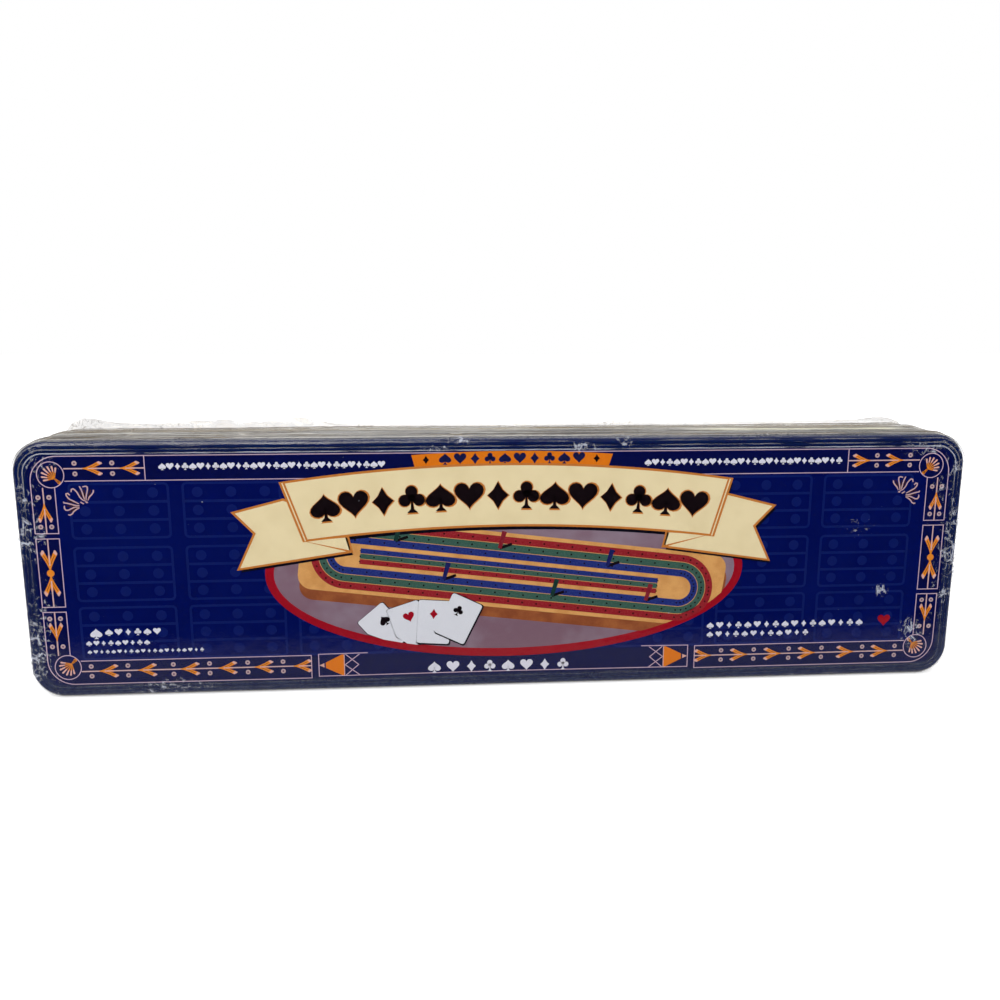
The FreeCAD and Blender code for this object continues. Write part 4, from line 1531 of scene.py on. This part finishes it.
    def title(self, top: Outline, bottom: Outline) -> None:
        """A row of large dark suit pips along the ribbon."""
        middle = (top + bottom) / 2
        count, size = 14, 11.6
        points = np.arange(len(middle))
        where = np.interp(np.linspace(0.075, 0.93, count), np.linspace(0, 1, len(middle)), points)
        for k, s in enumerate(where):
            x, z = (float(np.interp(s, points, middle[:, axis])) for axis in (0, 1))
            suit, turn = list(Suit)[k % 4], -0.068 * (x - 2.0)
            self.layers.pip("ribbon_edge", 12, suit, x + 0.15, z - 0.1, size, turn, 1.1)
            self.layers.pip("dark", 13, suit, x, z, size, turn)

    def tab(self) -> None:
        """The orange tab over the ribbon, with two dark diamonds and a row of small dark suits."""
        top = arc_through((-39.4, 47.6), (2.5, 49.0), (44.8, 47.4), 20)
        low = arc_through((42.6, 40.6), (2.5, 42.6), (-37.6, 40.8), 20)
        self.layers.fill("orange_flat", 6, np.vstack([top, low]))
        for x in (-33.4, 38.0):
            self.layers.pip("dark", 7, Suit.DIAMOND, x, 45.5, 3.6)
        for k, x in enumerate(np.linspace(-25.5, 30.5, 10)):
            self.layers.pip("navy", 7, list(Suit)[k % 4], float(x), 45.9, 4.9)

    def small_marks(self) -> None:
        """Rows of small white suit pips in the band, under the oval and in the field's lower corners."""
        for first, last, z, count, size in MARK_ROWS:
            for k, x in enumerate(np.linspace(first, last, count)):
                self.layers.pip("white", 3, list(Suit)[k % 4], float(x), z, size)
        self.layers.pip("red", 3, Suit.HEART, 168.7, -28.6, 5.4)

    def build(self) -> None:
        """Prints everything, then makes one piece for each ink."""
        self.peg_field()
        self.frame_lines()
        self.border()
        self.loose_fans()
        OvalScene(self).draw()
        self.ribbon()
        self.tab()
        self.small_marks()
        for ink in INKS:
            Piece(f"print_{ink.name}", "lid", "lid_enamel").link(self.layers.shapes[ink.name], ink.build())


@dataclass
class OvalScene:
    """The oval's picture: a board seen from above on a table, with a looped track, pegs and fanned cards."""

    print: LidPrint
    turn: float = -7.0
    board_x: float = 4.0
    board_z: float = -3.0
    board_half_length: float = 91.0
    board_half_height: float = 16.5
    lane_width: float = 3.3
    run_pitch: float = 2.35
    run_ends: Pair = (-66.0, 62.0)
    pegs: Path = ((-52, 8.0), (-30, -6.5), (-8, 9.5), (17, -9.0), (39, 6.5), (58, -7.0))
    first_card: Triple = (-52.0, -27.0, 40.0)
    card_step: Triple = (10.5, 1.2, -22.0)

    def kept(self, outline: Outline) -> Outline:
        """Draws points that lie past the inner edge of the oval's rim back onto it, towards its centre."""
        p = self.print
        centre, rim = np.array([p.oval_x, p.oval_z]), p.oval_rim - 0.4
        half = [p.oval_a - rim, p.oval_b - rim]
        away = (outline - centre) / half
        reach = np.maximum(np.linalg.norm(away, axis=1, keepdims=True), 1.0)
        return centre + away / reach * half

    def at(self, outline: Outline) -> Outline:
        """Places an outline given on the board, and keeps it inside the oval's rim."""
        return self.kept(placed(outline, self.board_x, self.board_z, self.turn))

    def draw(self) -> None:
        """Prints the rim, the table, the board with its track and pegs, and the cards."""
        p, layers = self.print, self.print.layers
        oval = circle(p.oval_x, p.oval_z, p.oval_a, 120, p.oval_b)
        layers.fill("red", 2, oval)
        layers.fill("table", 3, circle(p.oval_x, p.oval_z, p.oval_a - p.oval_rim, 120, p.oval_b - p.oval_rim))
        a, b = self.board_half_length, self.board_half_height
        side = RoundedLoop(a, b, 6.0, 3.0, 8).sample()[0]
        layers.fill("oak_side", 4, self.at(side + [1.0, -4.5]))
        layers.fill("oak", 5, self.at(side))
        for k, ink in enumerate(("lane_blue", "lane_green", "lane_red")):
            reach = b - 3.2 - (2 - k) * self.lane_width
            track = RoundedLoop(a - 6.0 - (2 - k) * self.lane_width, reach, reach - 0.05, 3.0, 14).sample()[0]
            layers.loop(ink, 6, self.lane_width - 0.25, self.at(track))
            layers.fill("dark", 7, *(circle(x, z, 0.42, 6) for x, z in self.at(track[::2])))
            level = (1 - k) * self.run_pitch
            run = np.column_stack([np.linspace(*self.run_ends, 45), np.full(45, level)])
            layers.fill(ink, 6, self.at(stroke(run[::4], self.run_pitch - 0.2)))
            layers.fill("dark", 7, *(circle(x, z, 0.34, 6) for x, z in self.at(run[::2])))
        for k, (x, z) in enumerate(self.pegs):
            post = stroke(np.array([(x, z), (x + 1.2, z + 7.5)]), np.array([1.6, 2.1]))
            layers.fill("peg_" + ("green", "blue", "red")[k % 3], 9, self.at(post))
            layers.fill("dark", 8, self.at(stroke(np.array([(x, z), (x + 5.0, z + 2.4)]), 1.2)))
        self.cards()

    def cards(self) -> None:
        """Four cards fanned at the lower left, each with one pip."""
        layers = self.print.layers
        card = RoundedLoop(7.0, 9.6, 1.0, 4.0, 4).sample()[0]
        for k, suit in enumerate(Suit):
            x, z, turn = (first + step * k for first, step in zip(self.first_card, self.card_step))
            layers.fill("shade", 8 + k, self.kept(placed(card, x + 0.25, z - 0.25, turn, 1.05)))
            layers.fill("card", 9 + k, self.kept(placed(card, x, z, turn)))
            ink = "red" if suit in (Suit.HEART, Suit.DIAMOND) else "dark"
            layers.pip(ink, 10 + k, suit, x, z + 3.6, 4.6, turn)


# ---------------------------------------------------------------- the film


@dataclass
class FilmWrap:
    """The film in two halves that meet behind the lid's hem, with a crumpled seam along the top."""

    gap: float = 0.3
    thickness: float = 0.1
    flat_from: float = 11.0
    meet_front: float = 6.0
    meet_back: float = 6.3
    front_bend: float = 2.6
    back_bend: float = 3.0
    back_play: float = 0.6
    seeds: tuple[int, int] = (11, 23)
    heights: Pair = (0.7, 0.65)
    fold_range: Pair = (9.0, 5.0)
    rim_range: Pair = (2.5, 6.0)
    fin_y: float = 21.0
    fin_half_length: float = 198.0
    fin_profile: Path = (
        (-198.0, -6.4), (-196.0, -3.6), (-193.6, -0.9), (-192.0, 1.6), (-190.0, 3.4), (-186.8, 4.6), (-182.0, 4.4),
        (-176.0, 3.3), (-168.0, 2.4), (-160.0, 1.9), (-152.0, 2.1), (-143.0, 2.7), (-134.0, 3.3), (-125.0, 3.8),
        (-117.0, 3.6), (-108.0, 2.3), (-104.0, 3.0), (-99.0, 3.8), (-90.0, 4.3), (-84.0, 3.6), (-77.0, 1.9),
        (-72.0, 1.4), (-60.0, 0.9), (0.0, 0.8), (46.0, 0.8), (50.0, 1.4), (56.0, 2.6), (61.0, 2.2), (66.0, 1.2),
        (90.0, 1.0), (130.0, 1.2), (160.0, 1.5), (171.0, 1.9), (176.0, 2.6), (181.5, 3.2), (186.0, 2.4),
        (190.0, 1.2), (193.0, -0.8), (196.0, -3.6), (198.0, -6.4))

    def wrinkles(self, around: np.ndarray, along: np.ndarray, seed: int) -> tuple[np.ndarray, np.ndarray]:
        """How far the film stands off, as long folds round the tin and as crumples across the wall.

        The folds are noise stretched round the tin. The crumples are the square of noise stretched
        across the wall plus a third of finer noise.

        Args:
            around: Distance round the tin, one for each loop point.
            along: Distance along the profile, one for each profile point.
            seed: Chooses the folds.

        Returns:
            Two arrays of heights from 0 to about 1, a row for each loop point.
        """
        u, v = np.meshgrid(around, along, indexing="ij")
        skew = u + 0.5 * v
        folds = smooth_noise(u / 55.0, v / 4.2 + u / 140.0, seed + 2, (16, 64))
        across = smooth_noise(skew / 3.2, v / 14.0, seed, (320, 16)) ** 2
        fine = smooth_noise(u / 1.9, v / 2.6, seed + 1, (512, 32))
        return folds, across * 0.75 + fine * 0.35

    def half(self, profile: np.ndarray, seed: int, height: float) -> Shape:
        """One half of the film as a closed thin shell: the outer skin, its free edge, and the inner skin.

        The long folds show along the top, the crumples at the ends. Along the bottom, where the tin's
        weight presses the film flat, nothing stands off.

        Args:
            profile: Inset and depth of the inner skin, from the flat panel to the free edge.
            seed: Chooses the wrinkles.
            height: How far the highest wrinkles stand off.

        Returns:
            The shell.
        """
        loop = RoundedLoop(TIN.half_length, TIN.half_height, TIN.corner, 1.6, 18)
        at, facing = loop.sample()
        around = np.concatenate([[0.0], np.cumsum(np.linalg.norm(np.diff(at, axis=0), axis=1))])
        along = np.concatenate([[0.0], np.cumsum(np.linalg.norm(np.diff(profile, axis=0), axis=1))])
        ahead = np.gradient(profile, axis=0)
        ahead /= np.linalg.norm(ahead, axis=1, keepdims=True)
        out = np.column_stack([ahead[:, 1], -ahead[:, 0]])
        if out[0, 1] * np.sign(profile[0, 1]) < 0:
            out = -out
        folds, crumples = self.wrinkles(around, along, seed)
        wall, rim = (np.clip((along - start) / length, 0.0, 1.0)[None] for start, length in
                     (self.fold_range, self.rim_range))
        end = facing[:, :1] ** 2
        top = np.clip(facing[:, 1:], 0.0, 1.0)
        lift = height * (folds * wall * top + crumples * (rim * end * 0.8 + wall * top * 0.35))
        inner = profile[None] + out[None] * lift[..., None]
        outer = inner + out[None] * self.thickness
        both = np.concatenate([outer, inner[:, ::-1]], axis=1)
        return Shape().shell(loop.sweep(both[..., 0], both[..., 1]))

    def front(self) -> Shape:
        """The front half's skin: flat over the face, round the shoulder and back along the skirt."""
        gap, face = self.gap, TIN.face_y - self.gap
        r = self.front_bend + gap
        panel = np.column_stack([np.linspace(self.flat_from, 3.2, 12), np.full(12, face)])
        bend = arc(self.front_bend, face + r, r, -90, -180, 8)
        wall_y = np.linspace(face + r + 1.5, self.meet_front, 20)
        wall = np.column_stack([np.interp(wall_y, [-20, 2, 6], [-gap, -gap - 0.1, -gap - 0.25]), wall_y])
        return self.half(np.vstack([panel, bend, wall]), self.seeds[0], self.heights[0])

    def back(self) -> Shape:
        """The back half's skin: flat over the back, round its edge and forward to the hem."""
        face = TIN.back_y + self.gap
        r = self.back_bend + self.gap
        panel = np.column_stack([np.linspace(self.flat_from, 4.2, 12), np.full(12, face)])
        bend = arc(self.back_bend + self.back_play, face - r, r, 90, 180, 8)
        wall_y = np.linspace(face - r - 1.0, self.meet_back, 16)
        wall = np.column_stack([np.interp(wall_y, [6.3, 9.0, 20.0], [-0.5, -0.35, 0.1]), wall_y])
        return self.half(np.vstack([panel, bend, wall]), self.seeds[1], self.heights[1])

    def fin(self) -> Shape:
        """The welded seam: a thin crumpled flap that stands along the top and fills in over both corners.

        Its root follows the tin's outline. Its top is the root's straight height plus a height that
        changes along it, broken up by noise. It leans and waves in Y by noise that grows with height.
        """
        columns, rows = 420, 7
        x = np.linspace(-self.fin_half_length, self.fin_half_length, columns)
        places = np.array(self.fin_profile)
        level = TIN.half_height + self.gap
        reach = TIN.half_length - TIN.corner
        over = np.clip(np.abs(x) - reach, 0.0, TIN.corner)
        root = level - TIN.corner + np.sqrt(TIN.corner**2 - over**2) - 0.25
        jag = smooth_noise(x / 3.4, x * 0, 41, (256, 4)) + 0.5 * smooth_noise(x / 1.6, x * 0, 42, (512, 4))
        crest = np.interp(x, places[:, 0], places[:, 1])
        top = np.maximum(level + crest + (jag - 0.75) * 0.2 * np.clip(crest, 0.25, 1.5), root + 0.1)
        s = np.linspace(0, 1, rows)
        z = root[:, None] + (top - root)[:, None] * s[None]
        sway = smooth_noise(x[:, None] / 5.0 + s[None] * 0.8, s[None] * 2.0 + x[:, None] * 0, 43, (128, 8)) - 0.5
        y = self.fin_y + sway * 4.2 * s[None] ** 0.8 * np.clip(crest, 0.4, 3.0)[:, None] / 3.0
        near, far = (np.stack([np.broadcast_to(x[:, None], z.shape), y + shift, z + TIN.centre_z], axis=-1)
                     for shift in (-self.thickness / 2, self.thickness / 2))
        return Shape().shell(np.concatenate([near, far[:, ::-1]], axis=1))

    def build(self) -> None:
        """Makes both halves and the seam."""
        skin = ClearFilm().build()
        Piece("film_skin_front", "lid", "clear_film", ("film_front",), 60).link(self.front(), skin)
        Piece("film_skin_back", "base", "clear_film", ("film_back",), 60).link(self.back(), skin)
        seam = ClearFilm("clear_film_seam", 0.1, 0.6, 0.4, 0.1, 0.12, ()).build()
        Piece("film_seam", "base", "clear_film", (), 60).link(self.fin(), seam)


# ---------------------------------------------------------------- what is inside


@dataclass
class Contents:
    """The tray, the board with its cover, screw and pegs, the cards and the leaflet."""

    nodes: dict[str, bpy.types.Object]

    def carried(self, name: str, material: Material) -> None:
        """Keeps a node's own shape and gives it a finish."""
        node = self.nodes[name]
        dress(node, material)
        LOG.info("%s keeps its shape", name)

    def build(self) -> None:
        """Dresses or remakes each piece."""
        tray = softened_copy(self.nodes["insert_tray"], "tray_formed", 0.2)
        Piece("tray_formed", "base", "tray_plastic", ("insert_tray",), 40).link(tray, FormedPlastic().build())
        self.carried("cribbage_board", BoardWood().build())
        cover = softened_copy(self.nodes["compartment_cover"], "cover_plate", 0.15)
        steel = Metal("cover_steel", (196, 196, 192)).build()
        Piece("cover_plate", "cover", "cover_steel", ("compartment_cover",), 40).link(cover, steel)
        self.carried("cover_screw", Metal("screw_steel", (206, 200, 186), 0.22).build())
        for colour, paint in (("red", (170, 24, 36)), ("green", (24, 104, 62)), ("blue", (30, 52, 148))):
            finish = PegPaint(f"peg_{colour}", paint).build()
            for number in (1, 2, 3):
                self.carried(f"peg_{colour}_{number}", finish)
        self.carried("card_tuck_box", CartonPrint().build())
        self.carried("card_deck", CardStock().build())
        self.carried("rules_leaflet", LeafletPaper().build())


# ---------------------------------------------------------------- the studio


@dataclass
class Studio:
    """The floor, the lights, the surroundings and the camera."""

    lens: float = 32.876
    sensor: float = 36.0
    camera_at: Triple = (-0.03086, -0.39902, 0.15646)
    camera_turn: Triple = (78.9586, -0.0709, -4.2877)
    diffuse: float = 0.72
    front_dark: float = 0.005
    back_level: float = 0.55
    up_level: float = 0.95
    floor_half: float = 4.0
    aim: Triple = (0.0, 0.0, 0.05)

    def camera(self) -> None:
        """The camera, from slightly above the lid's left half."""
        data = bpy.data.cameras.new("camera")
        data.lens, data.sensor_width = self.lens, self.sensor
        made = bpy.data.objects.new("camera", data)
        made.location = self.camera_at
        made.rotation_euler = [math.radians(a) for a in self.camera_turn]
        bpy.context.scene.collection.objects.link(made)
        bpy.context.scene.camera = made

    def floor(self) -> None:
        """A wide plain floor."""
        mesh = bpy.data.meshes.new("floor")
        corners = rectangle(-1, -1, 1, 1) * self.floor_half
        mesh.from_pydata(np.column_stack([corners, np.zeros(4)]).tolist(), [], [(0, 1, 2, 3)])
        made = bpy.data.objects.new("floor", mesh)
        bpy.context.scene.collection.objects.link(made)
        dress(made, FloorPaint().build())

    def lamp(self, name: str, at: Sequence[float], size: float, power: float) -> None:
        """A square soft light aimed at the object.

        Args:
            name: The light's name.
            at: Its place in metres.
            size: Its side in metres.
            power: Its power in watts.
        """
        data = bpy.data.lights.new(name, "AREA")
        data.size, data.energy = size, power
        made = bpy.data.objects.new(name, data)
        away = np.array(at) - np.array(self.aim)
        made.location = at
        level = math.atan2(math.hypot(away[0], away[1]), away[2])
        made.rotation_euler = (level, 0.0, math.atan2(away[0], -away[1]))
        bpy.context.scene.collection.objects.link(made)

    def surroundings(self) -> None:
        """White for the camera and through glass, an even level for light, and a room for reflections.

        The room is dark in front of the lid, mid-grey behind it at the horizon, and pale overhead.
        """
        world = bpy.data.worlds.new("surroundings")
        bpy.context.scene.world = world
        t = Tree(world)
        rays = t.node("ShaderNodeLightPath").outputs
        way = t.node("ShaderNodeSeparateXYZ", inputs={0: t.node("ShaderNodeTexCoord").outputs["Generated"]})
        _, y, z = (Val(t, socket) for socket in way.outputs)
        back = y.ramp(-0.15, 0.5) * (self.back_level - self.front_dark)
        up = z.ramp(0.15, 0.8) * y.ramp(-0.9, -0.1) * (self.up_level - self.back_level)
        room = (back + up + self.front_dark).clamped()
        white = (Val(t, rays["Is Camera Ray"]) + Val(t, rays["Is Transmission Ray"])).clamped()
        glossy = Val(t, rays["Is Glossy Ray"])
        level = white + (1.0 - white) * (glossy * room + (1.0 - glossy) * self.diffuse)
        sky = t.node("ShaderNodeBackground", None, {"Color": (1.0, 1.0, 1.0, 1.0), "Strength": level})
        t.node("ShaderNodeOutputWorld", None, {"Surface": sky.outputs[0]})

    def build(self) -> None:
        """Sets up everything round the object."""
        bpy.context.scene.view_settings.view_transform = "Standard"
        self.camera()
        self.floor()
        self.surroundings()
        self.lamp("key", (-0.5, -0.9, 1.1), 0.9, 7.0)
        self.lamp("top", (0.1, 0.25, 1.3), 1.2, 6.0)


def main() -> None:
    """Builds the tin, its print, its film and its contents."""
    logging.basicConfig(level=logging.INFO, format="%(name)s %(message)s")
    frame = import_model()
    Studio().build()
    Tin().build()
    LidPrint().build()
    FilmWrap().build()
    Contents(frame["nodes"]).build()


if __name__ == "__main__":
    main()
